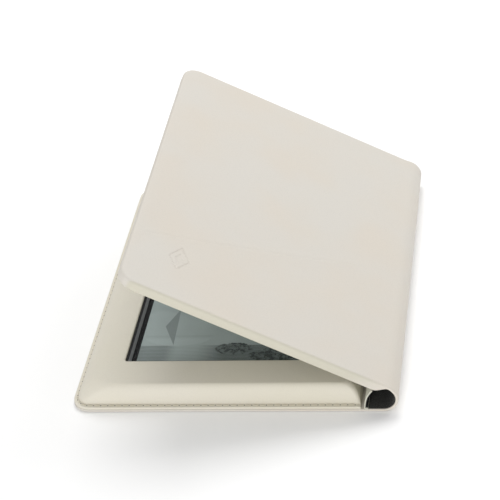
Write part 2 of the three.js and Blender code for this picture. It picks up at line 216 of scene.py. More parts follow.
class Graph:
    """The node graph of one new material."""

    def __init__(self, name: str) -> None:
        """Starts a material with a Principled shader and an output.

        Args:
            name: the material's name.
        """
        self.material = bpy.data.materials.new(name)
        self.material.use_nodes = True
        self.tree = self.material.node_tree
        self.shader = self.tree.nodes["Principled BSDF"]
        self._place: Outputs | None = None

    def node(
        self, kind: str, settings: Mapping[str, Any], inputs: Mapping[str | int, Any]
    ) -> Outputs:
        """Adds a node.

        Args:
            kind: the node's type.
            settings: its properties, set before its sockets.
            inputs: socket names or numbers, each with a number, a tuple or a Socket.

        Returns:
            The node's outputs.
        """
        made = self.tree.nodes.new(kind)
        for key, value in settings.items():
            setattr(made, key, value)
        for key, value in inputs.items():
            self.feed(self._input(made, key), value)
        return Outputs(self, made)

    @staticmethod
    def _input(made: bpy.types.Node, key: str | int) -> bpy.types.NodeSocket:
        """The node's enabled input of that name, or its input of that number.

        Args:
            made: the node.
            key: the input's name or number.

        Returns:
            The input.
        """
        if isinstance(key, int):
            return made.inputs[key]
        return [socket for socket in made.inputs if socket.name == key and socket.enabled][0]

    def feed(self, target: bpy.types.NodeSocket, value: Any) -> None:
        """Links a Socket to an input, or sets the input's own value.

        Args:
            target: the input.
            value: a Socket, a number, a tuple or an option's name.
        """
        if isinstance(value, Socket):
            self.tree.links.new(value.source, target)
        elif isinstance(value, tuple) and len(value) == 3 and target.type == "RGBA":
            target.default_value = (*value, 1.0)
        else:
            target.default_value = value

    def shade(self, **inputs: Any) -> None:
        """Sets inputs of the shader, named with underscores for spaces."""
        for name, value in inputs.items():
            self.feed(self.shader.inputs[name.replace("_", " ")], value)

    def place(self) -> Socket:
        """The object coordinates, in metres."""
        if self._place is None:
            self._place = self.node("ShaderNodeTexCoord", {}, {})
        return self._place["Object"]

    def axes(self) -> tuple[Socket, Socket, Socket]:
        """The object coordinates one by one, in millimetres."""
        parts = self.node("ShaderNodeSeparateXYZ", {}, {"Vector": self.place()})
        return parts["X"] / MM, parts["Y"] / MM, parts["Z"] / MM

    def within(self, x0: float, y0: float, x1: float, y1: float, blur: float = 0.05) -> Socket:
        """A mask in the shape of an upright rectangle, in millimetres.

        Args:
            x0: its low X side.
            y0: its low Y side.
            x1: its high X side.
            y1: its high Y side.
            blur: how far the mask fades on each side of its outline.

        Returns:
            1 inside the rectangle and 0 outside it.
        """
        x, y, _ = self.axes()
        wide = x.step(x0 - blur, x0 + blur) * x.step(x1 + blur, x1 - blur)
        return wide * y.step(y0 - blur, y0 + blur) * y.step(y1 + blur, y1 - blur)

    def clouds(self, size_mm: float, detail: float = 3.0, rough: float = 0.5) -> Socket:
        """Soft noise.

        Args:
            size_mm: the size of its features.
            detail: how many finer layers it has.
            rough: how strong the finer layers are.

        Returns:
            The noise, about 0.5 in the middle.
        """
        inputs = {"Vector": self.place(), "Scale": 1.0 / (size_mm * MM), "Detail": detail,
                  "Roughness": rough}
        return self.node("ShaderNodeTexNoise", {}, inputs)["Fac"]

    def cells(self, size_mm: float, smoothness: float = 0.6) -> Socket:
        """Rounded pebbles of about this size."""
        inputs = {"Vector": self.place(), "Scale": 1.0 / (size_mm * MM), "Smoothness": smoothness}
        return self.node("ShaderNodeTexVoronoi", {"feature": "SMOOTH_F1"}, inputs)["Distance"]

    def mix(self, share: Socket | float, first: Any, second: Any) -> Socket:
        """A colour between two colours.

        Args:
            share: how much of the second colour there is, from 0 to 1.
            first: a colour.
            second: the other colour.

        Returns:
            The mixed colour.
        """
        settings = {"data_type": "RGBA", "clamp_factor": True}
        inputs = {"Factor": share, "A": first, "B": second}
        return self.node("ShaderNodeMix", settings, inputs)["Result"]

    def bump(self, height: Socket, depth_mm: float, strength: float = 1.0) -> None:
        """Raises the surface by a height from 0 to 1, times the depth."""
        inputs = {"Height": height, "Distance": depth_mm * MM, "Strength": strength}
        self.shade(Normal=self.node("ShaderNodeBump", {}, inputs)["Normal"])


# ---------------------------------------------------------------- finishes

Colour = tuple[float, float, float]


class Finish(ABC):
    """How a surface looks."""

    def material(self, name: str) -> bpy.types.Material:
        """The finish as a new material of that name."""
        graph = Graph(name)
        self.dress(graph)
        return graph.material

    @abstractmethod
    def dress(self, graph: Graph) -> None:
        """Builds the finish's nodes in a new material's graph."""


def darker(colour: Colour, share: float) -> Colour:
    """The colour times a share."""
    return (colour[0] * share, colour[1] * share, colour[2] * share)


@dataclass(frozen=True)
class Leather(Finish):
    """Smooth finished leather with a low, fine grain.

    Where a half width is given, the edges at both ends of Y get a darker, yellower tone, partly the turned
    edges' own tint and partly painted shade that tones down their lit look, wherever the leather stands off
    the table.
    """

    colour: Colour
    warm: Colour
    grain_mm: float = 0.55
    depth_mm: float = 0.02
    roughness: float = 0.5
    half_width: float = 0.0
    # painted shade, with some of the turned edges' own yellower tint: the tone of the raised edge bands
    edge: Colour = (0.545, 0.520, 0.430)
    shaded_band: tuple[float, float] = (1.2, 0.3)
    shade_lift: tuple[float, float] = (13.0, 22.0)

    def dress(self, graph: Graph) -> None:
        """Builds the finish's nodes.

        Args:
            graph: the new material's graph.
        """
        _, y, z = graph.axes()
        pebbles = graph.cells(self.grain_mm)
        pores = graph.clouds(self.grain_mm * 0.35, detail=4.0)
        drift = graph.clouds(38.0, detail=2.0)
        handled = graph.clouds(9.0, detail=5.0, rough=0.6)
        tone = graph.mix(drift.step(0.3, 0.75), self.colour, self.warm)
        tone = graph.mix(pebbles.step(0.35, 0.8) * 0.12, tone, darker(self.colour, 0.8))
        # painted shade along the raised edges at both ends of Y
        if self.half_width:
            inner, outer = (self.half_width - inset for inset in self.shaded_band)
            tone = graph.mix(y.size().step(inner, outer) * z.step(*self.shade_lift), tone, self.edge)
        roughness = self.roughness + (handled - 0.5) * 0.14 + pebbles * 0.08
        graph.shade(Base_Color=tone, Roughness=roughness, Specular_IOR_Level=0.4)
        graph.bump(pebbles * 0.7 + pores * 0.3, self.depth_mm, 0.8)


@dataclass(frozen=True)
class NappedCloth(Finish):
    """Short brushed pile on a woven ground."""

    colour: Colour
    tips: Colour
    pile_mm: float = 0.35

    def dress(self, graph: Graph) -> None:
        """Builds the finish's nodes.

        Args:
            graph: the new material's graph.
        """
        fibres = graph.clouds(self.pile_mm, detail=6.0, rough=0.75)
        tufts = graph.clouds(self.pile_mm * 5.0, detail=3.0)
        tone = graph.mix(fibres.step(0.42, 0.72) * (0.4 + tufts), self.colour, self.tips)
        graph.shade(Base_Color=tone, Roughness=0.94, Specular_IOR_Level=0.15)
        graph.shade(Sheen_Weight=0.25, Sheen_Roughness=0.5)
        graph.bump(fibres * 0.7 + tufts * 0.3, self.pile_mm * 0.5)


@dataclass(frozen=True)
class Thread(Finish):
    """Twisted sewing thread."""

    colour: Colour
    ply_mm: float = 0.35

    def dress(self, graph: Graph) -> None:
        """Builds the finish's nodes.

        Args:
            graph: the new material's graph.
        """
        x, y, z = graph.axes()
        twist = ((x + y + z * 2.0) * (math.tau / self.ply_mm)).wave() * 0.5 + 0.5
        fuzz = graph.clouds(0.12, detail=3.0)
        tone = graph.mix(twist * 0.55, self.colour, darker(self.colour, 0.72))
        graph.shade(Base_Color=tone, Roughness=0.68 + fuzz * 0.2, Specular_IOR_Level=0.3)
        graph.bump(twist * 0.75 + fuzz * 0.25, 0.06)


@dataclass(frozen=True)
class Plastic(Finish):
    """Moulded plastic with a spark-eroded texture and a little handling gloss."""

    colour: Colour
    roughness: float = 0.45
    texture_mm: float = 0.18
    depth_mm: float = 0.008
    coat: float = 0.0
    gloss: float = 0.5

    def dress(self, graph: Graph) -> None:
        """Builds the finish's nodes.

        Args:
            graph: the new material's graph.
        """
        erosion = graph.clouds(self.texture_mm, detail=2.0)
        touched = graph.clouds(14.0, detail=4.0, rough=0.65)
        tone = graph.mix(touched.step(0.35, 0.75) * 0.35, self.colour, darker(self.colour, 1.5))
        graph.shade(Base_Color=self.tinted(graph, tone), Roughness=self.roughness + (touched - 0.5) * 0.16)
        graph.shade(Coat_Weight=self.coat, Coat_Roughness=0.25, Specular_IOR_Level=self.gloss)
        graph.bump(erosion, self.depth_mm)

    def tinted(self, graph: Graph, tone: Socket) -> Socket:
        """The colour where it differs from the plain plastic."""
        return tone


@dataclass(frozen=True, kw_only=True)
class BezelPlastic(Plastic):
    """Matt black plastic, with a painted highlight: lighter grey on the short slope inside a rectangle."""

    x0: float
    y0: float
    x1: float
    y1: float
    # painted highlight: the lit grey of the bezel's inner slope
    painted_highlight: Colour = (0.20, 0.205, 0.215)

    def tinted(self, graph: Graph, tone: Socket) -> Socket:
        """The painted highlight: lighter grey on the slope inside the rectangle."""
        return graph.mix(graph.within(self.x0, self.y0, self.x1, self.y1), tone, self.painted_highlight)


@dataclass(frozen=True)
class Metal(Finish):
    """Sheet metal with rolling marks."""

    colour: Colour
    roughness: float = 0.35
    lines_mm: float = 0.25
    stretch: float = 0.06

    def dress(self, graph: Graph) -> None:
        """Builds the finish's nodes.

        Args:
            graph: the new material's graph.
        """
        x, y, z = graph.axes()
        stretched = graph.node("ShaderNodeCombineXYZ", {}, {"X": x, "Y": y * self.stretch, "Z": z})["Vector"]
        inputs = {"Vector": stretched, "Scale": 1.0 / self.lines_mm, "Detail": 2.0}
        lines = graph.node("ShaderNodeTexNoise", {}, inputs)["Fac"]
        blooms = graph.clouds(6.0, detail=4.0)
        tone = graph.mix(blooms.step(0.4, 0.7) * 0.4, self.colour, darker(self.colour, 0.75))
        graph.shade(Base_Color=tone, Metallic=1.0, Roughness=self.roughness + lines * 0.18)
        graph.bump(lines, 0.006)


@dataclass(frozen=True)
class CircuitBoard(Finish):
    """Solder mask over copper tracks."""

    mask: Colour
    track: Colour
    pad: Colour

    def dress(self, graph: Graph) -> None:
        """Builds the finish's nodes.

        Args:
            graph: the new material's graph.
        """
        x, y, _ = graph.axes()
        bend = graph.clouds(7.0, detail=1.0)
        across = ((x + bend * 9.0) * 4.2).wave()
        along = ((y - bend * 9.0) * 3.4).wave()
        choice = graph.clouds(10.0, detail=0.0).step(0.47, 0.53)
        line = (across * choice + along * (1.0 - choice)).step(0.55, 0.75)
        drilled = graph.cells(2.6, 0.0).step(0.16, 0.12)
        tone = graph.mix(line * 0.7, self.mask, self.track)
        tone = graph.mix(drilled, tone, self.pad)
        graph.shade(Base_Color=tone, Metallic=drilled * 0.8, Roughness=0.3 + drilled * 0.1)
        graph.bump(line * 0.6 + drilled * 0.4, 0.03)


@dataclass(frozen=True)
class Board(Finish):
    """Grey bookbinder's board."""

    colour: Colour

    def dress(self, graph: Graph) -> None:
        """Builds the finish's nodes.

        Args:
            graph: the new material's graph.
        """
        pulp = graph.clouds(0.7, detail=5.0, rough=0.7)
        flecks = graph.cells(1.9, 0.2).step(0.12, 0.05)
        tone = graph.mix(pulp.step(0.35, 0.7), self.colour, darker(self.colour, 0.8))
        graph.shade(Base_Color=graph.mix(flecks * 0.6, tone, darker(self.colour, 0.35)), Roughness=0.92)
        graph.bump(pulp, 0.05)


@dataclass(frozen=True)
class Film(Finish):
    """A thin clear sheet with a matt face."""

    colour: Colour
    cover: float

    def dress(self, graph: Graph) -> None:
        """Builds the finish's nodes.

        Args:
            graph: the new material's graph.
        """
        haze = graph.clouds(11.0, detail=3.0)
        graph.shade(Base_Color=self.colour, Alpha=self.cover, Roughness=0.32 + haze * 0.12)
        graph.bump(graph.clouds(0.09, detail=1.0), 0.004)
        graph.material.surface_render_method = "BLENDED"


@dataclass(frozen=True)
class PaperScreen(Finish):
    """Electronic paper with a black border, showing a generic boat on a misty lake in dithered greys.

    The picture is drawn in millimetres, across and up from its near low corner.
    """

    x0: float
    y0: float
    x1: float
    y1: float
    paper: Colour = (0.465, 0.540, 0.535)
    ink: Colour = (0.045, 0.056, 0.056)
    border: Colour = (0.0045, 0.0048, 0.0052)
    waterline: float = 12.0
    hull_middle: tuple[float, float] = (18.0, 19.5)

    def dress(self, graph: Graph) -> None:
        """Builds the finish's nodes.

        Args:
            graph: the new material's graph.
        """
        x, y, _ = graph.axes()
        across, up = x - self.x0, y - self.y0
        mist = graph.clouds(20.0, detail=4.0, rough=0.55)
        leaves = graph.clouds(2.4, detail=5.0, rough=0.72)
        tone = self._lay(mist * 0.3 + 0.02, self._hills(across, up, mist), 0.14 + mist * 0.2)
        tone = self._lay(tone, self._water(up), self._shade(across, up, mist))
        planks = mist * 0.16 + up.step(16.0, self.hull_middle[1]) * 0.16
        tone = self._lay(tone, self._hull(across, up), planks)
        tone = self._lay(tone, self._sail(across, up), 0.42 + mist * 0.16)
        tone = self._lay(tone, self._shore(across, up, leaves), 0.66 + leaves.step(0.4, 0.6) * 0.3)
        dither = (graph.clouds(0.24, detail=0.0) - 0.5) * 0.22
        grey = graph.mix(tone + dither * tone, self.paper, self.ink)
        inside = graph.within(self.x0, self.y0, self.x1, self.y1)
        graph.shade(Base_Color=graph.mix(inside, self.border, grey), Roughness=0.28 + inside * 0.3)
        graph.shade(Specular_IOR_Level=0.04)
        graph.bump(graph.clouds(0.3, detail=1.0), 0.004)

    @staticmethod
    def _hills(across: Socket, up: Socket, mist: Socket) -> Socket:
        """A far ridge: 1 above its line, fading into the mist."""
        line = (across * 0.085 + 0.9).wave() * 5.0 + (across * 0.29).wave() * 1.6 + mist * 12.0 + 27.0
        return (up - line).step(-1.0, 1.5) * (up - line).step(26.0, 4.0)

    def _water(self, up: Socket) -> Socket:
        """The lake: 1 below its far shore."""
        return up.step(self.waterline, self.waterline - 0.6)

    @staticmethod
    def _shade(across: Socket, up: Socket, mist: Socket) -> Socket:
        """How dark the water is: least in the middle of the picture, with long low ripples."""
        ripple = ((up + across * 0.06 + mist * 7.0) * 2.3).wave() * 0.03
        return mist * 0.2 + ripple + 0.1 + across.step(19.0, 12.0) * 0.3 + across.step(26.0, 44.0) * 0.44

    def _hull(self, across: Socket, up: Socket) -> Socket:
        """A long low pale hull: the lower half of an ellipse.

        Args:
            across: the distance from the picture's low X side.
            up: the distance from its near side.

        Returns:
            1 inside the hull and 0 outside it.
        """
        middle, deck = self.hull_middle
        keel = (across - middle).power(2.0) / 300.0 + (up - deck).power(2.0) / 66.0
        return keel.step(1.0, 0.94) * up.step(deck + 0.3, deck - 0.1)

    @staticmethod
    def _sail(across: Socket, up: Socket) -> Socket:
        """A dark three-cornered sail: what lies inside its three edges.

        Args:
            across: the distance from the picture's low X side.
            up: the distance from its near side.

        Returns:
            1 inside the sail and 0 outside it.
        """
        luff = 16.8 - up * 0.03 - across
        foot = across - 21.4 + up * 0.4375
        head = across + 1.4 - up * 0.407
        return luff.at_most(foot).at_most(head).step(0.0, 0.3)

    @staticmethod
    def _shore(across: Socket, up: Socket, leaves: Socket) -> Socket:
        """Reeds and bushes along the near shore, thickest on the right.

        Args:
            across: the distance from the picture's low X side.
            up: the distance from its near side.
            leaves: fine noise that breaks up the outline.

        Returns:
            1 inside the bushes and 0 outside them.
        """
        first = 1.0 - (across - 47.0).power(2.0) / 110.0 - (up - 9.0).power(2.0) / 22.0
        second = 1.0 - (across - 72.0).power(2.0) / 330.0 - (up - 4.0).power(2.0) / 40.0
        return (first.at_least(second) + leaves * 1.3).step(0.72, 0.92)

    @staticmethod
    def _lay(under: Socket, shape: Socket, tone: Socket | float) -> Socket:
        """A tone laid over another one where the shape is 1."""
        return under * (1.0 - shape) + shape * tone


@dataclass(frozen=True)
class Foam(Finish):
    """Fine open-cell foam, with painted shade in the pits of its cells."""

    colour: Colour

    def dress(self, graph: Graph) -> None:
        """Builds the finish's nodes.

        Args:
            graph: the new material's graph.
        """
        cells = graph.cells(0.45, 0.1)
        # painted shade: darker where the bump sinks into the middle of each cell
        tone = graph.mix(cells.step(0.5, 0.1) * 0.5, self.colour, darker(self.colour, 0.6))
        graph.shade(Base_Color=tone, Roughness=0.95, Specular_IOR_Level=0.2)
        graph.bump(cells, 0.12)


FINISHES: dict[str, Finish] = {
    "frame_leather": Leather((0.662, 0.626, 0.537), (0.656, 0.620, 0.516), grain_mm=0.5, depth_mm=0.016),
    "lining_leather": Leather((0.585, 0.580, 0.500), (0.578, 0.568, 0.478), grain_mm=0.45, roughness=0.58),
    "backing_cloth": NappedCloth((0.010, 0.010, 0.009), (0.085, 0.085, 0.075)),
    "greyboard": Board((0.27, 0.25, 0.21)),
    "foam": Foam((0.74, 0.71, 0.64)),
    "thread": Thread((0.70, 0.655, 0.53)),
    "rear_plastic": Plastic((0.020, 0.020, 0.022), roughness=0.62, texture_mm=0.3, depth_mm=0.02),
    "film": Film((0.030, 0.034, 0.034), 0.03),
    "gasket": Foam((0.013, 0.013, 0.013)),
    "circuit_board": CircuitBoard((0.012, 0.09, 0.04), (0.03, 0.17, 0.075), (0.75, 0.55, 0.2)),
    "chip": Plastic((0.014, 0.014, 0.015), roughness=0.5, texture_mm=0.12, depth_mm=0.012),
    "tinned_steel": Metal((0.60, 0.61, 0.62), roughness=0.26),
    "chassis_metal": Metal((0.42, 0.44, 0.45), roughness=0.42),
    "battery_foil": Metal((0.62, 0.63, 0.64), roughness=0.3, lines_mm=1.2),
    "flex": Plastic((0.42, 0.17, 0.03), roughness=0.3, texture_mm=0.6, coat=0.3),
    "white_plastic": Plastic((0.72, 0.73, 0.71), roughness=0.35),
}


# ---------------------------------------------------------------- shapes

SMALLEST_RADIUS = 0.3  # for corners that are as good as sharp
RIM_POINTS = 4 * (ARC_STEPS + 1)
ROD_SEGMENTS = 28
TOUCHING = 1e-4  # vertices nearer than this are merged
SAME_POINT = 1e-6  # points of a drawn line nearer than this count once
CUT_SPARE = 4.0  # how far a shape runs on past the plane that cuts it
LAID_DOWN = Matrix.Rotation(math.pi / 2, 4, "X")  # turns what is drawn upright to face along Y


@dataclass(frozen=True)
class Rim:
    """A rounded rectangle at one height: one ring of a lofted shape.

    The corners at the low X end have one radius and those at the high X end another.
    """

    x0: float
    y0: float
    x1: float
    y1: float
    z: float
    low: float = SMALLEST_RADIUS
    high: float = SMALLEST_RADIUS

    def inner(self, by: float, z: float) -> "Rim":
        """The ring drawn in by a distance on every side, at another height."""
        low, high = (max(radius - by, SMALLEST_RADIUS) for radius in (self.low, self.high))
        return Rim(self.x0 + by, self.y0 + by, self.x1 - by, self.y1 - by, z, low, high)

    def points(self) -> list[Vector]:
        """Its points in turn, from the high Y end of its high X side.

        Returns:
            The points.
        """
        corners = (
            (self.x1 - self.high, self.y1 - self.high, self.high),
            (self.x0 + self.low, self.y1 - self.low, self.low),
            (self.x0 + self.low, self.y0 + self.low, self.low),
            (self.x1 - self.high, self.y0 + self.high, self.high),
        )
        found = []
        for quarter, (x, y, radius) in enumerate(corners):
            for step in range(ARC_STEPS + 1):
                angle = (quarter + step / ARC_STEPS) * math.pi / 2
                found.append(Vector((x + radius * math.cos(angle), y + radius * math.sin(angle), self.z)))
        return found


def quarter_round(rim: Rim, width: float, depth: float, rising: bool, steps: int = 4) -> list[Rim]:
    """The rings that round off the edge of a shape whose widest ring is given.

    Args:
        rim: the widest ring, at the height of the face that the rounding ends on.
        width: how far the rounding reaches in from the widest ring.
        depth: how far it reaches up or down from the face.
        rising: True where the face lies over the rounding, False where it lies under it.
        steps: the number of bands.

    Returns:
        The rings, from the widest one to the one on the face.
    """
    sign = -1.0 if rising else 1.0
    rings = []
    for step in range(steps + 1):
        angle = step / steps * math.pi / 2
        inward = width * (1.0 - math.cos(angle))
        rings.append(rim.inner(inward, rim.z + sign * depth * (1.0 - math.sin(angle))))
    return rings


class Cut(Enum):
    """What one shape does to another."""

    AWAY = "DIFFERENCE"
    ON = "UNION"


class Form:
    """A shape being made, in millimetres."""

    def __init__(self) -> None:
        """Starts with nothing."""
        self.mesh = bmesh.new()

    def ring(self, rim: Rim) -> list[bmesh.types.BMVert]:
        """Adds one ring and gives its vertices in order.

        Args:
            rim: where the ring goes.

        Returns:
            The ring's vertices.
        """
        made = bmesh.ops.create_circle(self.mesh, segments=RIM_POINTS, radius=1.0)["verts"]
        for vertex, place in zip(made, rim.points()):
            vertex.co = place
        return made

    def round_edges(self, ring: Sequence[bmesh.types.BMVert]) -> list[bmesh.types.BMEdge]:
        """The edges of a ring, in order."""
        return [self.mesh.edges.get(pair) for pair in zip(ring, [*ring[1:], ring[0]])]

    def drawn_to(self, ring: Sequence[bmesh.types.BMVert], rim: Rim) -> list[bmesh.types.BMVert]:
        """Extrudes a ring of vertices to the next ring.

        Args:
            ring: the vertices to extrude, in order.
            rim: where the new vertices go.

        Returns:
            The new vertices, in order.
        """
        made = bmesh.ops.extrude_edge_only(self.mesh, edges=self.round_edges(ring))["geom"]
        fresh = {part for part in made if isinstance(part, bmesh.types.BMVert)}
        following = []
        for vertex, place in zip(ring, rim.points()):
            others = (edge.other_vert(vertex) for edge in vertex.link_edges)
            twin = next(other for other in others if other in fresh)
            twin.co = place
            following.append(twin)
        return following

    def loft(self, rims: Sequence[Rim], closed: bool = False) -> "Form":
        """Joins rings into a skin.

        Args:
            rims: the rings, in order.
            closed: True joins the last ring to the first; False closes both ends with a face.

        Returns:
            The form.
        """
        first = current = self.ring(rims[0])
        for rim in [*rims[1:], *(rims[:1] if closed else [])]:
            current = self.drawn_to(current, rim)
        if closed:
            bmesh.ops.remove_doubles(self.mesh, verts=[*first, *current], dist=TOUCHING)
        else:
            for end in (first, current):
                bmesh.ops.edgeloop_fill(self.mesh, edges=self.round_edges(end))
        bmesh.ops.recalc_face_normals(self.mesh, faces=self.mesh.faces[:])
        return self

    def slice(
        self,
        point: Vector,
        normal: Vector,
        within: Callable[[bmesh.types.BMFace], bool] | None = None,
        open_side: bool = False,
    ) -> None:
        """Cuts an edge line where a plane meets the skin.

        Args:
            point: a point on the plane.
            normal: the plane's direction.
            within: says which faces are cut; all of them if it is left out.
            open_side: True takes away what the normal points at and closes the cut.
        """
        faces = [face for face in self.mesh.faces if within is None or within(face)]
        edges = list(dict.fromkeys(edge for face in faces for edge in face.edges))
        corners = list(dict.fromkeys(vertex for face in faces for vertex in face.verts))
        cut = bmesh.ops.bisect_plane(
            self.mesh, geom=[*corners, *edges, *faces], dist=TOUCHING, plane_co=point, plane_no=normal,
            clear_outer=open_side,
        )
        if open_side:
            rim = [part for part in cut["geom_cut"] if isinstance(part, bmesh.types.BMEdge)]
            bmesh.ops.edgeloop_fill(self.mesh, edges=rim)

    def slices(
        self,
        axis: int,
        places: Iterable[float],
        within: Callable[[bmesh.types.BMFace], bool] | None = None,
    ) -> None:
        """Cuts edge lines square to an axis.

        Args:
            axis: 0 for X or 1 for Y.
            places: where along the axis the lines are.
            within: says which faces are cut; all of them if it is left out.
        """
        normal = Vector((0.0, 0.0, 0.0))
        normal[axis] = 1.0
        for place in places:
            self.slice(normal * place, normal, within)

    def shape(self, way: Callable[[Vector], Vector]) -> "Form":
        """Moves every vertex to where the function says, and turns the faces outwards again.

        Args:
            way: gives a vertex's new place for its old one.

        Returns:
            The form.
        """
        for vertex in self.mesh.verts:
            vertex.co = way(vertex.co.copy())
        self.mesh.normal_update()
        bmesh.ops.recalc_face_normals(self.mesh, faces=self.mesh.faces[:])
        return self

    def turn(self, matrix: Matrix) -> "Form":
        """Moves the whole form by a matrix."""
        bmesh.ops.transform(self.mesh, matrix=matrix, verts=self.mesh.verts[:])
        return self

    def cut(self, tool: "Form", how: Cut = Cut.AWAY) -> "Form":
        """Takes another form away from this one, or joins it on.

        Args:
            tool: the other form, which is used up.
            how: what it does.

        Returns:
            This form.
        """
        pair = [bpy.data.objects.new("bench", form.to_mesh("bench")) for form in (self, tool)]
        for thing in pair:
            bpy.context.scene.collection.objects.link(thing)
        modifier = pair[0].modifiers.new("cut", "BOOLEAN")
        modifier.operation = how.value
        modifier.solver = "EXACT"
        modifier.object = pair[1]
        result = bpy.data.meshes.new_from_object(
            pair[0].evaluated_get(bpy.context.evaluated_depsgraph_get()))
        self.mesh.clear()
        self.mesh.from_mesh(result)
        bpy.data.meshes.remove(result)
        for thing in pair:
            bpy.data.meshes.remove(thing.data)
        tool.mesh.free()
        return self

    def to_mesh(self, name: str) -> bpy.types.Mesh:
        """The form as a new mesh, with points that lie on each other merged.

        Args:
            name: the mesh's name.

        Returns:
            The mesh.
        """
        bmesh.ops.remove_doubles(self.mesh, verts=self.mesh.verts[:], dist=TOUCHING)
        bmesh.ops.dissolve_degenerate(self.mesh, edges=self.mesh.edges[:], dist=TOUCHING)
        made = bpy.data.meshes.new(name)
        self.mesh.to_mesh(made)
        return made


def plate(rim: Rim, top: float, soft: float = 0.0) -> Form:
    """A flat piece of one outline, with both its edges rounded.

    Args:
        rim: the outline, at the height of its underside.
        top: the height of its top.
        soft: the radius of both edges; 0 leaves them sharp.

    Returns:
        The form.
    """
    upper = replace(rim, z=top)
    if not soft:
        return Form().loft([rim, upper])
    rings = quarter_round(rim, soft, soft, rising=False)[::-1]
    return Form().loft(rings + quarter_round(upper, soft, soft, rising=True))


def rod(middle: Vector, radius: float, low: float, high: float) -> Form:
    """An upright round rod.

    Args:
        middle: any point on its axis.
        radius: its radius.
        low: the height of its lower end.
        high: the height of its upper end.

    Returns:
        The form.
    """
    form = Form()
    place = Matrix.Translation((middle.x, middle.y, (low + high) / 2))
    bmesh.ops.create_cone(form.mesh, cap_ends=True, segments=ROD_SEGMENTS, radius1=radius, radius2=radius,
                          depth=high - low, matrix=place)
    return form


def smooth(value: float, low: float, high: float) -> float:
    """A smooth step, as Socket.step is.

    Args:
        value: the value to step.
        low: where the step starts.
        high: where it ends; below low, the step falls.

    Returns:
        The stepped value, from 0 to 1.
    """
    share = min(max((value - low) / (high - low), 0.0), 1.0)
    return share * share * (3.0 - 2.0 * share)


def steps(start: float, end: float, size: float) -> list[float]:
    """Evenly spread places.

    Args:
        start: the first place.
        end: the last place.
        size: about how far apart they are.

    Returns:
        The places, in order.
    """
    count = max(round(abs(end - start) / size), 1)
    return [start + (end - start) * index / count for index in range(count + 1)]


def arc(centre: Vector, radius: float, start: float, end: float) -> list[Vector]:
    """Points on an arc.

    Args:
        centre: its centre.
        radius: its radius.
        start: the angle that it starts at, in degrees.
        end: the angle that it ends at.

    Returns:
        The points, in order.
    """
    turns = (math.radians(angle) for angle in steps(start, end, ARC_DEGREES))
    return [centre + Vector((math.cos(turn), math.sin(turn))) * radius for turn in turns]


def curve(start: Vector, first: Vector, second: Vector, end: Vector, count: int) -> list[Vector]:
    """Points on a Bezier curve in a plane.

    Args:
        start: its first point.
        first: the handle at its start.
        second: the handle at its end.
        end: its last point.
        count: the number of points.

    Returns:
        The points, in order.
    """
    return [Vector((point.x, point.y)) for point in interpolate_bezier(start, first, second, end, count)]


class Course:
    """A line in a plane, followed by distance."""

    def __init__(self, points: Sequence[Vector]) -> None:
        """Takes the line's points, close together where it bends.

        Args:
            points: the points, in order.
        """
        kept = [points[0]]
        for point in points[1:]:
            if (point - kept[-1]).length > SAME_POINT:
                kept.append(point)
        self._points = kept
        self._marks = [0.0]
        for first, second in zip(kept, kept[1:]):
            self._marks.append(self._marks[-1] + (second - first).length)
        spans = [(second - first).normalized() for first, second in zip(kept, kept[1:])]
        self._ways = [spans[0], *((a + b).normalized() for a, b in zip(spans, spans[1:])), spans[-1]]

    @property
    def length(self) -> float:
        """Its length."""
        return self._marks[-1]

    def at(self, distance: float) -> tuple[Vector, Vector]:
        """A place on the line, which runs on straight past both its ends.

        Args:
            distance: how far along the line the place is.

        Returns:
            The point and the line's direction there.
        """
        if distance <= 0.0:
            return self._points[0] + self._ways[0] * distance, self._ways[0]
        if distance >= self.length:
            return self._points[-1] + self._ways[-1] * (distance - self.length), self._ways[-1]
        index = bisect_right(self._marks, distance) - 1
        share = (distance - self._marks[index]) / (self._marks[index + 1] - self._marks[index])
        point = self._points[index].lerp(self._points[index + 1], share)
        return point, self._ways[index].lerp(self._ways[index + 1], share).normalized()

    def left(self, distance: float) -> tuple[Vector, Vector]:
        """The point at a distance and the direction square to the line, on its left."""
        point, way = self.at(distance)
        return point, Vector((-way.y, way.x))


# ---------------------------------------------------------------- setting pieces on the frame


@dataclass(frozen=True)
class Box:
    """The space that a CAD node fills."""

    low: Vector
    high: Vector

    @classmethod
    def of(cls, node: str) -> "Box":
        """The box of a node by name."""
        low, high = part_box(node)
        return cls(low / MM, high / MM)

    @property
    def middle(self) -> Vector:
        """The point in its middle."""
        return (self.low + self.high) / 2

    def rim(self, z: float, inset: float = 0.0, radius: float = SMALLEST_RADIUS) -> Rim:
        """A ring round the box.

        Args:
            z: its height.
            inset: how far it is drawn in from the box's sides.
            radius: the radius of its corners.

        Returns:
            The ring.
        """
        return Rim(self.low.x + inset, self.low.y + inset, self.high.x - inset, self.high.y - inset,
                   z, radius, radius)


@dataclass(frozen=True)
class Fold:
    """Where a piece would stop following one body and start following the next; nothing bends the piece with
    it.
    """

    first: Body
    second: Body
    start: Vector
    end: Vector


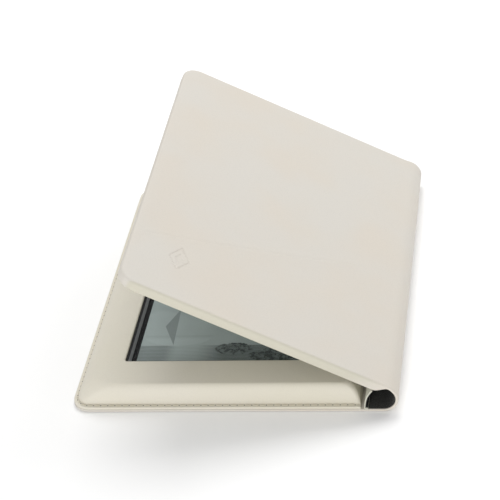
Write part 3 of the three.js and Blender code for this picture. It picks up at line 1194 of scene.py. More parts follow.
class Workshop:
    """Turns finished forms into pieces of the model and gives every piece its finish."""

    def __init__(self, frame: Mapping[str, Any]) -> None:
        """Takes the loaded frame.
        """
        self._frame = frame
        self._finishes = dict(FINISHES)
        folio = Box.of("base_outer_leather")
        # the half width gives the outer leather painted shade along its raised near and far edges
        self.add_finish(Slot.OUTER_LEATHER.value, Leather(
            (0.612, 0.584, 0.532), (0.622, 0.574, 0.504), half_width=folio.high.y))
        self._made: dict[str, bpy.types.Material] = {}

    def add_finish(self, slot: str, finish: Finish) -> None:
        """Adds a finish that depends on the frame's sizes."""
        self._finishes[slot] = finish

    def material(self, slot: str) -> bpy.types.Material:
        """The material of a slot, made once.

        Args:
            slot: the slot's name.

        Returns:
            The material.
        """
        if slot not in self._made:
            self._made[slot] = self._finishes[slot].material(slot)
        return self._made[slot]

    def place(
        self, form: Form, name: str, slot: Slot, on: Body | Fold, replaces: Sequence[str] = ()
    ) -> bpy.types.Object:
        """Makes a form a piece of the model.

        Args:
            form: the finished form, which is used up.
            name: the piece's name.
            slot: the material slot that it takes its finish from.
            on: the body that it rides on, or a fold, which leaves it on no body.
            replaces: the CAD nodes that it stands for.

        Returns:
            The piece.
        """
        made = form.to_mesh(name)
        made.transform(Matrix.Scale(MM, 4))
        form.mesh.free()
        made.shade_smooth()
        made.set_sharp_from_angle(angle=SHARP_ANGLE)
        made.materials.append(self.material(slot.value))
        piece = bpy.data.objects.new(name, made)
        bpy.context.scene.collection.objects.link(piece)
        if isinstance(on, Fold):
            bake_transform(piece)
        else:
            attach(piece, on.value)
        if replaces:
            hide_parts(*replaces)
        log.info("%s: %d faces, %s", name, len(made.polygons), slot.value)
        return piece

    def dress_nodes(self) -> None:
        """Gives every CAD node that still shows the material of its slot."""
        for part in self._frame["record"]["subparts"]:
            node = self._frame["nodes"][part["node"]]
            if not node.hide_render:
                node.data.materials.clear()
                node.data.materials.append(self.material(part["material_slot"]))
                log.info("%s: %s", node.name, part["material_slot"])


# ---------------------------------------------------------------- the folio's base


@dataclass
class BasePanel:
    """The base's outer leather, which runs on under the spine, with the seam round its border."""

    shop: Workshop
    skin: float = OUTER_SKIN
    corner: float = CORNER
    split: float = OUTER_SPLIT
    fold_start: float = 69.0
    fold_end: float = 72.5
    seam_inset: float = SEAM_INSET
    seam_end: float = 0.6
    mouth_spare: float = 0.8
    pitch: float = 3.5
    thread: float = 0.62
    thread_sink: float = 0.02
    stitch_share: float = 0.8
    stitch_lean: float = 4.0
    hole: float = 0.34
    hole_depth: float = 0.12
    hole_sink: float = 0.09

    def __post_init__(self) -> None:
        """Reads the panel's place."""
        self.box = Box.of("base_outer_leather")
        self.seam_box = Box.of("base_seam_thread")

    def build(self) -> None:
        """Makes every piece."""
        self.leather()
        seam = self.seam_line()
        self.stitches(seam)
        self.needle_holes(seam)

    def outline(self, inset: float, z: float) -> Rim:
        """A ring of the panel, drawn in by a distance and running on past where the panel is cut."""
        end = self.split + CUT_SPARE
        return Rim(self.box.low.x, self.box.low.y, end, self.box.high.y, z, self.corner).inner(inset, z)

    def leather(self) -> None:
        """The outer leather, from the free edge to where the spine begins to roll."""
        under = quarter_round(self.outline(0.0, 0.0), 0.5, 0.39, rising=False)[::-1]
        over = quarter_round(self.outline(0.0, self.skin), 0.34, 0.26, rising=True)
        form = Form().loft(under + over)
        form.slice(Vector((self.split, 0.0, 0.0)), Vector((1.0, 0.0, 0.0)), open_side=True)
        form.slices(0, steps(self.fold_start - 1.0, self.fold_end + 1.0, 0.4))
        height = self.skin / 2
        fold = Fold(Body.BASE, Body.SPINE, Vector((self.fold_start, 0.0, height)),
                    Vector((self.fold_end, 0.0, height)))
        self.shop.place(form, "base_leather_skin", Slot.OUTER_LEATHER, fold, ["base_outer_leather"])

    def seam_line(self) -> Course:
        """The line of stitches, from beside the spine round to the mouth in the far end.

        Returns:
            The line, seen from above.
        """
        inset, radius = self.seam_inset, self.corner - self.seam_inset
        x, near, far = self.box.low.x + inset, self.box.low.y + inset, self.box.high.y - inset
        return Course([
            Vector((self.seam_box.high.x, near)),
            *arc(Vector((x + radius, near + radius)), radius, 270.0, 180.0),
            *arc(Vector((x + radius, far - radius)), radius, 180.0, 90.0),
            Vector((max(self.mouth_start(), x + radius + 0.1), far)),
        ])

    def mouth_start(self) -> float:
        """Where the seam stops in the far end, just before the corner of the reader."""
        return Box.of("reader_rear_cover").low.x - self.mouth_spare

    def along(self, seam: Course) -> list[float]:
        """The places of the needle holes along the seam."""
        return steps(self.seam_end, seam.length - self.seam_end, self.pitch)

    def stitches(self, seam: Course) -> None:
        """One short length of thread between each two needle holes, sunk at both its ends.

        Args:
            seam: the line of stitches.
        """
        form = Form()
        places = self.along(seam)
        for first, second in zip(places, places[1:]):
            point, way = seam.at((first + second) / 2)
            reach = (second - first) * self.stitch_share / 2
            turn = Matrix.Rotation(math.atan2(way.y, way.x) + math.radians(self.stitch_lean), 4, "Z")
            size = Matrix.Diagonal((reach, self.thread / 2, self.thread / 2, 1.0))
            place = Matrix.Translation((point.x, point.y, HolderFrame.flange_top - self.thread_sink))
            bmesh.ops.create_uvsphere(form.mesh, u_segments=8, v_segments=7, radius=1.0,
                                      matrix=place @ turn @ size @ Matrix.Rotation(math.pi / 2, 4, "Y"))
        self.shop.place(form, "base_seam_stitches", Slot.THREAD, Body.BASE, ["base_seam_thread"])

    def needle_holes(self, seam: Course) -> None:
        """A small black cone sunk where the thread goes down at each end of a stitch: painted shade of the
        needle hole.

        Args:
            seam: the line of stitches.
        """
        form = Form()
        for place in self.along(seam):
            point, _ = seam.at(place)
            at = Matrix.Translation((point.x, point.y, HolderFrame.flange_top - self.hole_sink))
            bmesh.ops.create_cone(form.mesh, cap_ends=True, segments=10, radius1=self.hole,
                                  radius2=self.hole * 0.8, depth=self.hole_depth, matrix=at)
        # painted shade: the black cloth finish darkens each needle hole
        self.shop.place(form, "base_seam_needle_holes", Slot.BACKING, Body.BASE)


# ---------------------------------------------------------------- the holder's moulded frame


@dataclass(frozen=True)
class Side:
    """How the frame rises on one side: a quarter of a superellipse.

    A fullness of 2 makes an ellipse, and a lower one a flatter slope.
    """

    width: float
    fullness: float

    def across(self, height: float) -> float:
        """How far in the slope is at a height from 0 at its foot to 1 at its top."""
        bulge = max(1.0 - height ** self.fullness, 0.0) ** (1.0 / self.fullness)
        return self.width * (1.0 - bulge)


@dataclass
class HolderFrame:
    """The leather frame moulded over the reader, with foam under its slopes and the mouth at its far end."""

    shop: Workshop
    flange_top = 2.6
    leather: float = 1.05
    foot: float = 2.4
    free: Side = Side(13.3, 1.75)
    ends: Side = Side(3.7, 2.0)
    spine: Side = Side(6.4, 2.0)
    corner: float = CORNER
    margin: float = 3.0
    sheet_border: float = 1.2
    channel: float = 0.4
    seam_inset: float = SEAM_INSET
    seam_width: float = 1.0
    seam_depth: float = 0.05
    seam_fade: float = 0.25
    overhang: float = 0.2
    gap: float = 0.25
    foam_wall: float = 0.3
    button_clearance: float = 2.0
    button_radius: float = 6.0
    mouth_depth: float = 8.0

    def __post_init__(self) -> None:
        """Reads the frame's place."""
        self.box = Box.of("holder_frame_leather")
        self.reader = Box.of("reader_rear_cover")
        self.key = Box.of("home_button")
        self.top = self.box.high.z

    def build(self) -> None:
        """Makes every piece."""
        self.skin()
        self.padding()
        self.lining()

    def flange(self, inset: float, z: float) -> Rim:
        """A ring on the flat border. It hardly moves in on the spine side, where there is no border.

        Args:
            inset: how far it is drawn in.
            z: its height.

        Returns:
            The ring.
        """
        box, out = self.box, self.overhang
        return Rim(box.low.x - out + inset, box.low.y - out + inset, box.high.x - 0.08 * inset,
                   box.high.y + out - inset, z, max(self.corner - inset, SMALLEST_RADIUS))

    def slope(self, height: float, depth: float) -> Rim:
        """A ring on the slope.

        Args:
            height: from 0 at the foot to 1 at the plateau.
            depth: how far under the outer face the ring lies.

        Returns:
            The ring.
        """
        foot = self.flange(self.foot, self.flange_top)
        z = self.flange_top + height * (self.top - depth - self.flange_top)
        ends = self.ends.across(height) + depth
        return Rim(foot.x0 + self.free.across(height) + depth, foot.y0 + ends,
                   foot.x1 - self.spine.across(height) - depth, foot.y1 - ends, z,
                   foot.low + 3.0 * height, SMALLEST_RADIUS + 0.9 * (1.0 - height) + 2.5 * height)

    def heights(self) -> list[float]:
        """The heights of the slope's rings, closer together where it turns over."""
        return [math.sin(turn * math.pi / 2) for turn in steps(0.03, 1.0, 0.055)]

    def window(self, inset: float, z: float) -> Rim:
        """A ring of the window; a negative inset makes it larger."""
        return Box.of("display_front_sheet").rim(z, self.sheet_border - self.margin + inset, 1.5 - inset)

    def skin(self) -> None:
        """The moulded leather, with a stitched border, the window, the button hole and the mouth."""
        top, flat, half = self.top, self.flange_top, self.seam_width / 2
        under, floor = top - self.leather, self.box.low.z + 0.03
        edge = self.overhang + 0.02
        channel = ((-half - self.seam_fade, 0.0), (-half, 0.6), (0.0, 1.0), (half, 0.6),
                   (half + self.seam_fade, 0.0))
        lip = ((3.0, 0.05), (0.9, 0.0), (0.42, -0.06), (0.12, -0.3), (0.0, -0.6))
        rings = [
            *quarter_round(self.flange(edge, floor), 0.2, 0.25, rising=False)[::-1],
            *quarter_round(self.flange(edge, flat), 0.42, 0.38, rising=True),
            *(self.flange(self.seam_inset + aside, flat - self.seam_depth * share)
              for aside, share in channel),
            *(self.slope(height, 0.0) for height in self.heights()),
            *(self.window(-aside, top + rise) for aside, rise in lip),
            self.window(0.0, under + 0.15),
            self.window(-0.3, under),
            *(self.slope(height, self.leather) for height in self.heights()[::-1]),
            replace(self.slope(0.0, self.leather), z=floor),
        ]
        form = Form().loft(rings, closed=True)
        form.cut(self.button_cutter()).cut(self.mouth_cutter())
        self.shop.place(form, "holder_leather_skin", Slot.FRAME_LEATHER, Body.BASE, ["holder_frame_leather"])

    def button_cutter(self) -> Form:
        """What takes out the hole round the home button, with a softened upper edge.

        Returns:
            The form to cut with.
        """
        hole = self.key.rim(self.top - 4.0, -self.button_clearance, self.button_radius)
        flare = [hole.inner(-aside, self.top - drop) for aside, drop in
                 ((0.0, 0.55), (0.06, 0.3), (0.2, 0.12), (0.42, 0.02), (0.6, -0.04))]
        return Form().loft([hole, *flare, replace(flare[-1], z=self.top + 2.0)])

    def mouth_cutter(self) -> Form:
        """What takes out the mouth that the reader slides through, drawn upright and laid down.

        Returns:
            The form to cut with.
        """
        far = self.reader.high.y
        opening = Rim(self.reader.low.x - self.channel, self.flange_top + 0.05,
                      self.reader.high.x + self.channel, self.top - self.leather,
                      -far + self.mouth_depth, 1.1, 1.1)
        return Form().loft([opening, replace(opening, z=-far - 30.0)]).turn(LAID_DOWN)

    def pocket(self, z: float) -> Rim:
        """A ring of the space that the reader lies in."""
        return self.reader.rim(z, -self.channel, self.corner)

    def padding(self) -> None:
        """The foam between the slopes and the reader."""
        low, room = self.flange_top + self.gap, self.pocket(0.0)
        depth = self.leather + self.gap
        outer = []
        for height in self.heights()[1:-2]:
            ring, wall = self.slope(height, depth), room.inner(-self.foam_wall, 0.0)
            outer.append(replace(ring, x0=min(ring.x0, wall.x0), y0=min(ring.y0, wall.y0),
                                 x1=max(ring.x1, wall.x1), y1=max(ring.y1, wall.y1)))
        outer[0] = replace(outer[0], z=low)
        rings = [*outer, self.pocket(outer[-1].z - 0.1), self.pocket(low)]
        form = Form().loft(rings, closed=True).cut(self.mouth_cutter())
        piece = self.shop.place(form, "holder_foam_padding", Slot.FOAM, Body.BASE, ["holder_padding"])

    def lining(self) -> None:
        """The napped lining that the reader lies on."""
        box = Box.of("base_lining")
        form = plate(box.rim(box.low.z, 0.0, self.corner - 2.5), box.high.z, 0.15)
        self.shop.place(form, "holder_pocket_lining", Slot.BACKING, Body.BASE, ["base_lining"])


# ---------------------------------------------------------------- the spine and the cover


@dataclass
class Back:
    """The folio's back: one sheet of leather that covers the cover's board and rolls down to form the spine.

    It is drawn flat first. X is the distance from the fold line, falling towards the free edge and
    rising down the spine; Z is 0 on the outer face and falls towards the inside.
    """

    shop: Workshop
    opening: float = 29.5
    crease: Vector = field(default_factory=lambda: Vector((84.5, 13.9)))
    pivot: Vector = field(default_factory=lambda: Vector((84.6, 0.0, 13.5)))
    length: float = 135.5
    depth: float = 5.2
    skin: float = OUTER_SKIN
    corner: float = CORNER
    wall: float = 1.2
    board_end: float = -6.9
    taper_end: float = -0.5
    straight_end: float = -3.0
    roll_radius: float = 7.4
    roll_start: float = 30.0
    roll_middle: float = 80.0
    split: float = OUTER_SPLIT
    edge_round: float = 1.5
    spine_edge_share: float = 0.33
    groove_depth: float = 0.3
    mark: Vector = field(default_factory=lambda: Vector((-110.6, -65.8)))
    mark_size: Vector = field(default_factory=lambda: Vector((5.4, 9.0)))
    mark_reach: float = 1.15
    mark_grid: float = 0.32
    line_start: Vector = field(default_factory=lambda: Vector((-132.3, -57.1, 0.0)))
    line_end: Vector = field(default_factory=lambda: Vector((-12.6, -9.7, 0.0)))
    line_sag: float = 5.0
    line_depth: float = 0.22
    line_width: float = 0.85
    lining_thickness: float = 0.78
    cloth: tuple[float, float] = (-0.05, -0.45)
    cloth_soft: float = 0.07
    gusset_foot: Vector = field(default_factory=lambda: Vector((73.0, 1.3)))
    gusset_knee: Vector = field(default_factory=lambda: Vector((71.9, 1.3)))
    gusset_wall: Vector = field(default_factory=lambda: Vector((71.2, 2.3)))
    gusset_top: Vector = field(default_factory=lambda: Vector((75.4, 12.45)))

    def __post_init__(self) -> None:
        """Works out the line that the outer face follows."""
        angle = math.radians(self.opening)
        along = Vector((math.cos(angle), -math.sin(angle)))
        self.half_width = Box.of("base_outer_leather").high.y
        centre = Vector((self.roll_middle, self.roll_radius))
        roll = arc(centre, self.roll_radius, self.roll_start, -90.0)
        start, end = self.crease + along * self.straight_end, roll[0]
        way = Vector((math.sin(math.radians(self.roll_start)), -math.cos(math.radians(self.roll_start))))
        corner = self.meeting(start, along, end, way)
        bend = curve(start, start.lerp(corner, 0.8), end.lerp(corner, 0.8), end, 40)
        self.line = Course([self.crease - along * self.length, *bend, *roll, Vector((self.split, 0.0))])
        self.end = self.line.length - self.length

    @staticmethod
    def meeting(first: Vector, way: Vector, second: Vector, other: Vector) -> Vector:
        """Finds where two lines in a plane meet.

        Args:
            first: a point on the first line.
            way: the first line's direction.
            second: a point on the second line.
            other: the second line's direction.

        Returns:
            The point where they meet.
        """
        gap = second - first
        share = gap.cross(other) / way.cross(other)
        return first + way * share

    def thickness(self, x: float) -> float:
        """The depth of the layers at a distance from the fold line."""
        return self.depth + (self.skin - self.depth) * smooth(x, self.board_end, self.taper_end)

    def bent(self, flat: Vector, under: bool = False) -> Vector:
        """Where a point of the flat drawing lies on the folio.

        Args:
            flat: the point.
            under: True where Z is measured from the leather's inner face.

        Returns:
            The point in the folio's frame.
        """
        depth = flat.z - self.thickness(flat.x) if under else flat.z
        point, normal = self.line.left(flat.x + self.length)
        place = point + normal * depth
        return Vector((place.x, flat.y, place.y))

    def thinned(self, flat: Vector) -> Vector:
        """Thins the drawing from the cover's depth to the spine's, rounding and all.

        Args:
            flat: a point of the flat drawing.

        Returns:
            Where the point goes, still in the flat drawing.
        """
        share = smooth(flat.x, self.board_end, self.taper_end)
        margin = self.half_width - abs(flat.y)
        if margin < self.edge_round:
            margin *= 1.0 + (self.spine_edge_share - 1.0) * share
        y = math.copysign(self.half_width - margin, flat.y)
        return Vector((flat.x, y, flat.z * self.thickness(flat.x) / self.depth))

    def fold(self) -> Fold:
        """Where the leather would bend between the spine and the cover; nothing bends it with the fold."""
        way = Vector((-0.35, 0.0, 0.94)).normalized()
        return Fold(Body.SPINE, Body.COVER, self.pivot - way * 2.6, self.pivot + way * 1.7)

    def build(self) -> None:
        """Makes every piece."""
        self.leather()
        self.lining()
        self.backing()
        self.gusset()

    def leather(self) -> None:
        """The outer leather: the cover's face and sides, the fold and the rolled spine."""
        face = Rim(-self.length, -self.half_width, self.end + CUT_SPARE, self.half_width, 0.0, self.corner)
        foot = replace(face, z=-self.depth)
        room = Rim(-self.length + self.wall, -self.half_width + self.wall, self.board_end,
                   self.half_width - self.wall, -self.depth + 0.2, self.corner - self.wall)
        form = Form().loft([
            *quarter_round(face, self.edge_round, self.edge_round, rising=True, steps=6)[::-1],
            *quarter_round(foot, 0.55, 0.55, rising=False, steps=3),
            room.inner(-0.12, -self.depth),
            room,
            replace(room, z=-self.skin),
        ])
        form.slice(Vector((self.end, 0.0, 0.0)), Vector((1.0, 0.0, 0.0)), open_side=True)
        form.slices(0, [*steps(-8.0, self.straight_end, 0.5), *steps(self.straight_end + 0.25, 4.5, 0.25),
                        *steps(5.2, self.end - 0.4, 0.7)])
        self.refine(form)
        form.shape(self.pressed).shape(self.thinned).shape(self.bent)
        self.shop.place(form, "back_leather_skin", Slot.OUTER_LEATHER, self.fold(),
                        ["cover_outer_leather", "spine_outer_leather"])

    def refine(self, form: Form) -> None:
        """Cuts the cover's face finely where the ornament and the pressed line are.

        Args:
            form: the outer leather, drawn flat.
        """
        low = self.mark - self.mark_size * self.mark_reach
        high = self.mark + self.mark_size * self.mark_reach

        def on_top(face: bmesh.types.BMFace) -> bool:
            """True for faces of the cover's flat face."""
            return all(vertex.co.z > -TOUCHING for vertex in face.verts)

        def near_mark(face: bmesh.types.BMFace) -> bool:
            """True for faces on top that reach into the rectangle round the ornament."""
            xs, ys = [v.co.x for v in face.verts], [v.co.y for v in face.verts]
            return (on_top(face) and max(xs) > low.x and min(xs) < high.x
                    and max(ys) > low.y and min(ys) < high.y)

        def near_line(face: bmesh.types.BMFace) -> bool:
            """True for faces on top that lie by the pressed line."""
            middle = face.calc_center_median()
            return on_top(face) and abs(middle.y - self.pressed_line(middle.x)) < 4.0

        form.slices(0, steps(low.x, high.x, self.mark_grid), near_mark)
        form.slices(1, steps(low.y, high.y, self.mark_grid), near_mark)
        way = (self.line_end - self.line_start).normalized()
        square = Vector((-way.y, way.x, 0.0))
        for offset in steps(-4.5, 3.0, 0.5):
            form.slice(self.line_start + square * offset, square, on_top)
        for share in steps(-0.02, 1.02, 0.05):
            form.slice(self.line_start.lerp(self.line_end, share), way, near_line)

    def line_share(self, x: float) -> float:
        """How far along the pressed line a place is, from 0 at its start to 1 at its end."""
        return (x - self.line_start.x) / (self.line_end.x - self.line_start.x)

    def pressed_line(self, x: float) -> float:
        """The Y of the faint pressed line, which sags a little between its ends."""
        share, rise = self.line_share(x), self.line_end.y - self.line_start.y
        return self.line_start.y + rise * share - self.line_sag * share * (1.0 - share)

    def pressed(self, flat: Vector) -> Vector:
        """Presses the ornament and the faint line, which fades towards its end, into the cover's face.

        Args:
            flat: a point of the flat drawing.

        Returns:
            Where the point goes.
        """
        if flat.z < -TOUCHING or flat.x > self.board_end:
            return flat
        whole = self.line_end - self.line_start
        away = (flat.y - self.pressed_line(flat.x)) * whole.x / whole.length
        share = self.line_share(flat.x)
        strength = smooth(share, -0.02, 0.03) * smooth(share, 1.02, 0.85) * (1.0 - 0.45 * share)
        line = self.line_depth * strength * math.exp(-((away / self.line_width) ** 2))
        return flat - Vector((0.0, 0.0, line + self.groove_depth * self.ornament(flat)))

    def ornament(self, flat: Vector) -> float:
        """The binder's lozenge: how deep it is at a point, from 0 to 1.

        Args:
            flat: a point of the flat drawing.

        Returns:
            The depth's share.
        """
        x = abs(flat.x - self.mark.x) / self.mark_size.x
        y = abs(flat.y - self.mark.y) / self.mark_size.y
        reach = x + y
        outer = smooth(reach, 0.80, 0.86) * smooth(reach, 1.0, 0.94)
        inner = smooth(reach, 0.46, 0.40)
        return max(outer, inner)

    def lining(self) -> None:
        """The cover's inner panel, let into the leather that is turned over the board's edges."""
        inset = self.wall + 0.2
        rim = Rim(-self.length + inset, -self.half_width + inset, self.board_end - 0.2,
                  self.half_width - inset, -self.depth, self.corner - inset)
        rings = [*quarter_round(rim, 0.35, 0.35, rising=False)[::-1],
                 replace(rim, z=rim.z + self.lining_thickness)]
        form = Form().loft(rings).shape(self.bent)
        self.shop.place(form, "cover_lining_panel", Slot.LINING_LEATHER, Body.COVER,
                        ["cover_lining_leather"])

    def backing(self) -> None:
        """The napped cloth inside the spine, from under the board's end down to the flat underside."""
        outer, inner = self.cloth
        rim = Rim(self.board_end + 1.6, -self.half_width + 0.5, self.end + 2.8, self.half_width - 0.5, outer)
        form = Form().loft([rim.inner(0.1, outer), replace(rim, z=outer - self.cloth_soft),
                            replace(rim, z=inner + self.cloth_soft), rim.inner(0.1, inner)])
        form.slices(0, [*steps(rim.x0 + 0.4, 4.6, 0.35), *steps(5.2, self.end + 2.0, 0.6)])
        form.shape(lambda flat: self.bent(flat, under=True))
        self.shop.place(form, "spine_cloth_backing", Slot.BACKING, self.fold(), ["spine_backing_cloth"])

    def gusset(self) -> None:
        """The inner wall of the spine's tube: leather outside and napped cloth inside."""
        knee, wall, top = self.gusset_knee, self.gusset_wall, self.gusset_top
        turn = curve(knee, knee + Vector((-0.6, 0.0)), wall + Vector((-0.05, -0.6)), wall, 10)
        rise = curve(wall, wall + Vector((0.25, 3.9)), top + Vector((-2.7, -2.65)), top, 30)
        line = Course([self.gusset_foot, *turn, *rise])
        layers = (
            ("spine_gusset_skin", Slot.LINING_LEATHER, 0.0, 0.62, 0.0, ["spine_gusset_leather"]),
            ("spine_gusset_cloth", Slot.BACKING, 0.66, 0.96, 0.5, []),
        )
        for name, slot, outer, inner, inset, replaced in layers:
            rim = Rim(0.0, -self.half_width + inset, line.length, self.half_width - inset, 0.0)
            soft = (inner - outer) * 0.35
            form = plate(replace(rim, z=outer), inner, soft)
            form.slices(0, steps(0.3, line.length - 0.3, 0.4))

            def bent(flat: Vector) -> Vector:
                """A point of the flat layer, on the gusset."""
                point, normal = line.left(flat.x)
                place = point - normal * flat.z
                return Vector((place.x, flat.y, place.y))

            self.shop.place(form.shape(bent), name, slot, Body.SPINE, replaced)


# ---------------------------------------------------------------- the reader

POWER_BAR_INSET = 1.5  # how far the power key's bar stops short of its flange at each end
SCREWS = range(1, 5)


@dataclass
class ReaderCase:
    """The reader's rear shell and front bezel."""

    shop: Workshop
    wall: float = 1.5
    corner: float = CORNER
    rear_round: float = 2.4
    front_round: float = 1.0
    slope: float = 1.1
    rebate: float = 0.5
    post_radius: float = 2.6
    case_screw_hole: float = 1.1
    board_screw_hole: float = 0.9
    key_ledge: float = 1.2
    key_radius: float = 3.3

    def __post_init__(self) -> None:
        """Reads the reader's place."""
        self.rear = Box.of("reader_rear_cover")
        self.front = Box.of("reader_front_bezel")
        self.sheet = Box.of("display_front_sheet")
        self.key = Box.of("home_button")

    def build(self) -> None:
        """Makes both shells."""
        self.rear_shell()
        self.bezel()

    def rear_shell(self) -> None:
        """The rear cover: a tray with screw posts, and openings in its far wall."""
        low, high = self.rear.low.z, self.rear.high.z
        floor = low + self.wall - 0.1
        outline = self.rear.rim(low, 0.0, self.corner)
        inside = outline.inner(self.wall, floor)
        form = Form().loft([
            *quarter_round(outline, self.rear_round, self.rear_round, rising=False, steps=8)[::-1],
            *quarter_round(replace(outline, z=high), 0.2, 0.2, rising=True, steps=2),
            *quarter_round(replace(inside, z=high), -0.2, 0.2, rising=True, steps=2)[::-1],
            *quarter_round(inside, 0.8, 0.8, rising=False),
        ])
        top = Box.of("reader_chassis").low.z - 0.1
        for number in SCREWS:
            spot = Box.of(f"case_screw_{number}")
            form.cut(rod(spot.middle, self.post_radius, floor - 0.5, top), Cut.ON)
            form.cut(rod(spot.middle, self.case_screw_hole, spot.low.z - 0.3, top + 4.0))
        for number in SCREWS:
            spot = Box.of(f"board_screw_{number}")
            form.cut(rod(spot.middle, self.board_screw_hole, spot.low.z - 0.2, floor + 1.0))
        for node, spare, radius in (("usb_connector", 0.35, 0.7), ("power_button", 0.3, 0.8),
                                    ("indicator_light_pipe", 0.25, 1.0)):
            form.cut(self.wall_cutter(node, spare, radius))
        self.shop.place(form, "reader_rear_shell", Slot.REAR, Body.READER, ["reader_rear_cover"])

    def wall_cutter(self, node: str, spare: float, radius: float) -> Form:
        """What takes out an opening in the far wall, drawn upright and laid down.

        Args:
            node: the node that shows in the opening.
            spare: the room round it.
            radius: the radius of the opening's corners.

        Returns:
            The form to cut with.
        """
        box = Box.of(node)
        aside = (POWER_BAR_INSET if node == "power_button" else 0.0) - spare
        opening = Rim(box.low.x + aside, box.low.z - spare, box.high.x - aside,
                      box.high.z + spare, -self.rear.high.y + 3.6, radius, radius)
        return Form().loft([opening, replace(opening, z=-self.rear.high.y - 3.0)]).turn(LAID_DOWN)

    def bezel(self) -> None:
        """The front bezel: a rounded rim and a short slope down to the screen."""
        low, high = self.front.low.z, self.front.high.z
        outline = self.front.rim(low, 0.0, self.corner)
        opening = self.sheet.rim(low, self.rebate, 1.0)
        crest = opening.inner(-self.slope, high)
        soft = self.front_round
        # the slope inside the crest gets a painted highlight in lighter grey
        self.shop.add_finish(Slot.BEZEL.value, BezelPlastic(
            (0.0075, 0.0078, 0.0085), 0.34, gloss=0.06, x0=crest.x0, y0=crest.y0, x1=crest.x1, y1=crest.y1))
        rings = [
            *quarter_round(outline, 0.15, 0.15, rising=False, steps=2)[::-1],
            *quarter_round(replace(outline, z=high), soft, soft, rising=True, steps=6),
            crest.inner(-0.3, high),
            crest.inner(-0.06, high - 0.05),
            crest.inner(0.06, high - 0.2),
            opening.inner(-0.08, low + 0.2),
            opening,
        ]
        form = Form().loft(rings, closed=True)
        cutter = self.key.rim(low - 1.0, self.key_ledge, self.key_radius)
        form.cut(Form().loft([cutter, replace(cutter, z=high - 0.25), cutter.inner(-0.3, high + 0.05),
                              cutter.inner(-0.3, high + 1.0)]))
        self.shop.place(form, "reader_bezel", Slot.BEZEL, Body.READER, ["reader_front_bezel"])


@dataclass
class Keys:
    """The home key under the screen and the power key in the reader's end."""

    shop: Workshop
    home_inset: float = 1.5
    dish: float = 0.14
    home_flange: float = 0.26
    power_flange: float = 0.6

    def build(self) -> None:
        """Makes both keys."""
        self.home_key()
        self.power_key()

    def home_key(self) -> None:
        """A dished key on the thin flange that keeps it in and presses the switch."""
        box = Box.of("home_button")
        top = box.high.z
        shelf = Box.of("reader_front_bezel").low.z - 0.1
        face = box.rim(top, self.home_inset, 3.1)
        cap = [
            replace(face, z=shelf - 0.2),
            *quarter_round(face, 0.45, 0.45, rising=True, steps=5),
            face.inner(1.1, top - self.dish * 0.5),
            face.inner(2.0, top - self.dish * 0.9),
            face.inner(2.9, top - self.dish),
        ]
        flange = plate(box.rim(shelf - self.home_flange, 0.0, 4.0), shelf, 0.08)
        form = flange.cut(Form().loft(cap), Cut.ON)
        self.shop.place(form, "home_key", Slot.BEZEL, Body.HOME, ["home_button"])

    def power_key(self) -> None:
        """A short rounded bar with the wider plate that keeps it in, drawn upright and laid down."""
        box = Box.of("power_button")
        wide = Rim(box.low.x, box.low.z, box.high.x, box.high.z, -box.low.y, 0.4, 0.4)
        bar = Rim(wide.x0 + POWER_BAR_INSET, wide.y0, wide.x1 - POWER_BAR_INSET, wide.y1, -box.high.y,
                  0.78, 0.78)
        flange = Form().loft([wide, replace(wide, z=wide.z - self.power_flange)])
        rings = [*quarter_round(bar, 0.3, 0.3, rising=False)[::-1], replace(bar, z=wide.z - 0.2)]
        form = flange.cut(Form().loft(rings), Cut.ON).turn(LAID_DOWN)
        self.shop.place(form, "power_key", Slot.BEZEL, Body.POWER, ["power_button"])


@dataclass
class Display:
    """The electronic paper: it stays the CAD panel, and takes its picture from its finish."""

    shop: Workshop
    border: float = 2.8
    near_border: float = 1.7

    def build(self) -> None:
        """Adds the panel's finish, with the picture inside its black border."""
        sheet = Box.of("display_front_sheet")
        picture = sheet.rim(sheet.low.z, self.border)
        self.shop.add_finish("screen", PaperScreen(
            picture.x0, sheet.low.y + self.near_border, picture.x1, picture.y1))


# ---------------------------------------------------------------- studio


@dataclass(frozen=True)
class Paper(Finish):
    """Seamless white paper."""

    colour: Colour = (0.97, 0.97, 0.97)

    def dress(self, graph: Graph) -> None:
        """Builds the finish's nodes.

        Args:
            graph: the new material's graph.
        """
        graph.shade(Base_Color=self.colour, Roughness=0.9, Specular_IOR_Level=0.1)


@dataclass(frozen=True)
class Softbox:
    """A square area light that faces the object: its place and side in millimetres, its power in watts."""

    name: str
    place: Vector
    side: float
    power: float

    def build(self) -> None:
        """Sets up the light."""
        light = bpy.data.lights.new(self.name, "AREA")
        light.shape = "SQUARE"
        light.size = self.side * MM
        light.energy = self.power
        stand = bpy.data.objects.new(self.name, light)
        stand.location = self.place * MM
        stand.rotation_euler = (-self.place).to_track_quat("-Z", "Y").to_euler()
        bpy.context.scene.collection.objects.link(stand)


SOFTBOXES = (
    Softbox("back_softbox", Vector((0.0, 750.0, 1200.0)), 800.0, 9.0),
    Softbox("side_softbox", Vector((900.0, 700.0, 900.0)), 800.0, 4.0),
    Softbox("front_softbox", Vector((-150.0, -1250.0, 260.0)), 500.0, 6.2),
)


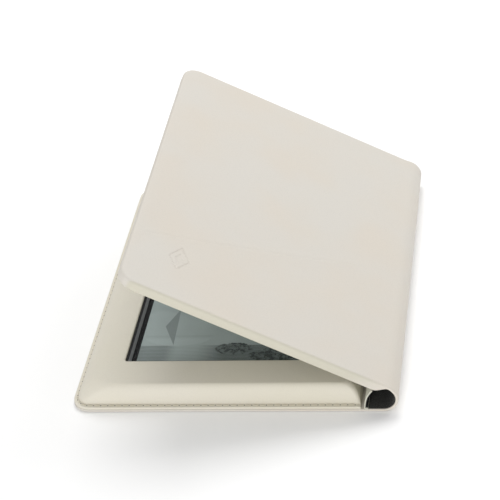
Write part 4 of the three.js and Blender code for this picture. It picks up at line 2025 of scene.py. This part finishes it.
@dataclass
class Studio:
    """The floor, the light and the camera."""

    azimuth: float = 12.6
    elevation: float = 34.82
    roll: float = -8.38
    distance: float = 930.6
    lens: float = 126.0
    target: Vector = field(default_factory=lambda: Vector((-0.8, 36.0, 0.0)))
    floor_size: float = 8000.0
    floor_drop: float = 0.1
    sky: float = 0.63

    def build(self) -> None:
        """Sets up the whole studio."""
        self.floor()
        self.world()
        for softbox in SOFTBOXES:
            softbox.build()
        self.camera()

    def floor(self) -> None:
        """A wide pale floor under the object."""
        made = bpy.data.meshes.new("studio_floor")
        mesh = bmesh.new()
        bmesh.ops.create_grid(mesh, x_segments=1, y_segments=1, size=self.floor_size * MM / 2,
                              matrix=Matrix.Translation((0.0, 0.0, -self.floor_drop * MM)))
        mesh.to_mesh(made)
        mesh.free()
        made.materials.append(Paper().material("studio_paper"))
        floor = bpy.data.objects.new("studio_floor", made)
        bpy.context.scene.collection.objects.link(floor)

    def world(self) -> None:
        """Even white light from all round, shown without any tone curve."""
        world = bpy.data.worlds.new("studio")
        world.use_nodes = True
        background = world.node_tree.nodes["Background"]
        background.inputs["Color"].default_value = (1.0, 1.0, 1.0, 1.0)
        background.inputs["Strength"].default_value = self.sky
        bpy.context.scene.world = world
        bpy.context.scene.view_settings.view_transform = "Standard"

    def camera(self) -> None:
        """The camera, tilted a little to one side."""
        angles = (self.azimuth, self.elevation, self.roll)
        azimuth, elevation, roll = (math.radians(angle) for angle in angles)
        back = Vector((math.sin(azimuth) * math.cos(elevation), -math.cos(azimuth) * math.cos(elevation),
                       math.sin(elevation)))
        level = Vector((math.cos(azimuth), math.sin(azimuth), 0.0))
        upright = back.cross(level)
        right = level * math.cos(roll) + upright * math.sin(roll)
        up = upright * math.cos(roll) - level * math.sin(roll)
        data = bpy.data.cameras.new("camera")
        data.lens = self.lens
        camera = bpy.data.objects.new("camera", data)
        turn = Matrix((right, up, back)).transposed().to_4x4()
        camera.matrix_world = Matrix.Translation((self.target + back * self.distance) * MM) @ turn
        bpy.context.scene.collection.objects.link(camera)
        bpy.context.scene.camera = camera


def main() -> None:
    """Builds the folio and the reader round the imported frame."""
    logging.basicConfig(level=logging.INFO, format="%(name)s: %(message)s")
    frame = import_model()
    Studio().build()
    shop = Workshop(frame)
    Display(shop).build()
    for assembly in (BasePanel(shop), HolderFrame(shop), Back(shop), ReaderCase(shop), Keys(shop)):
        assembly.build()
    shop.dress_nodes()


if __name__ == "__main__":
    main()
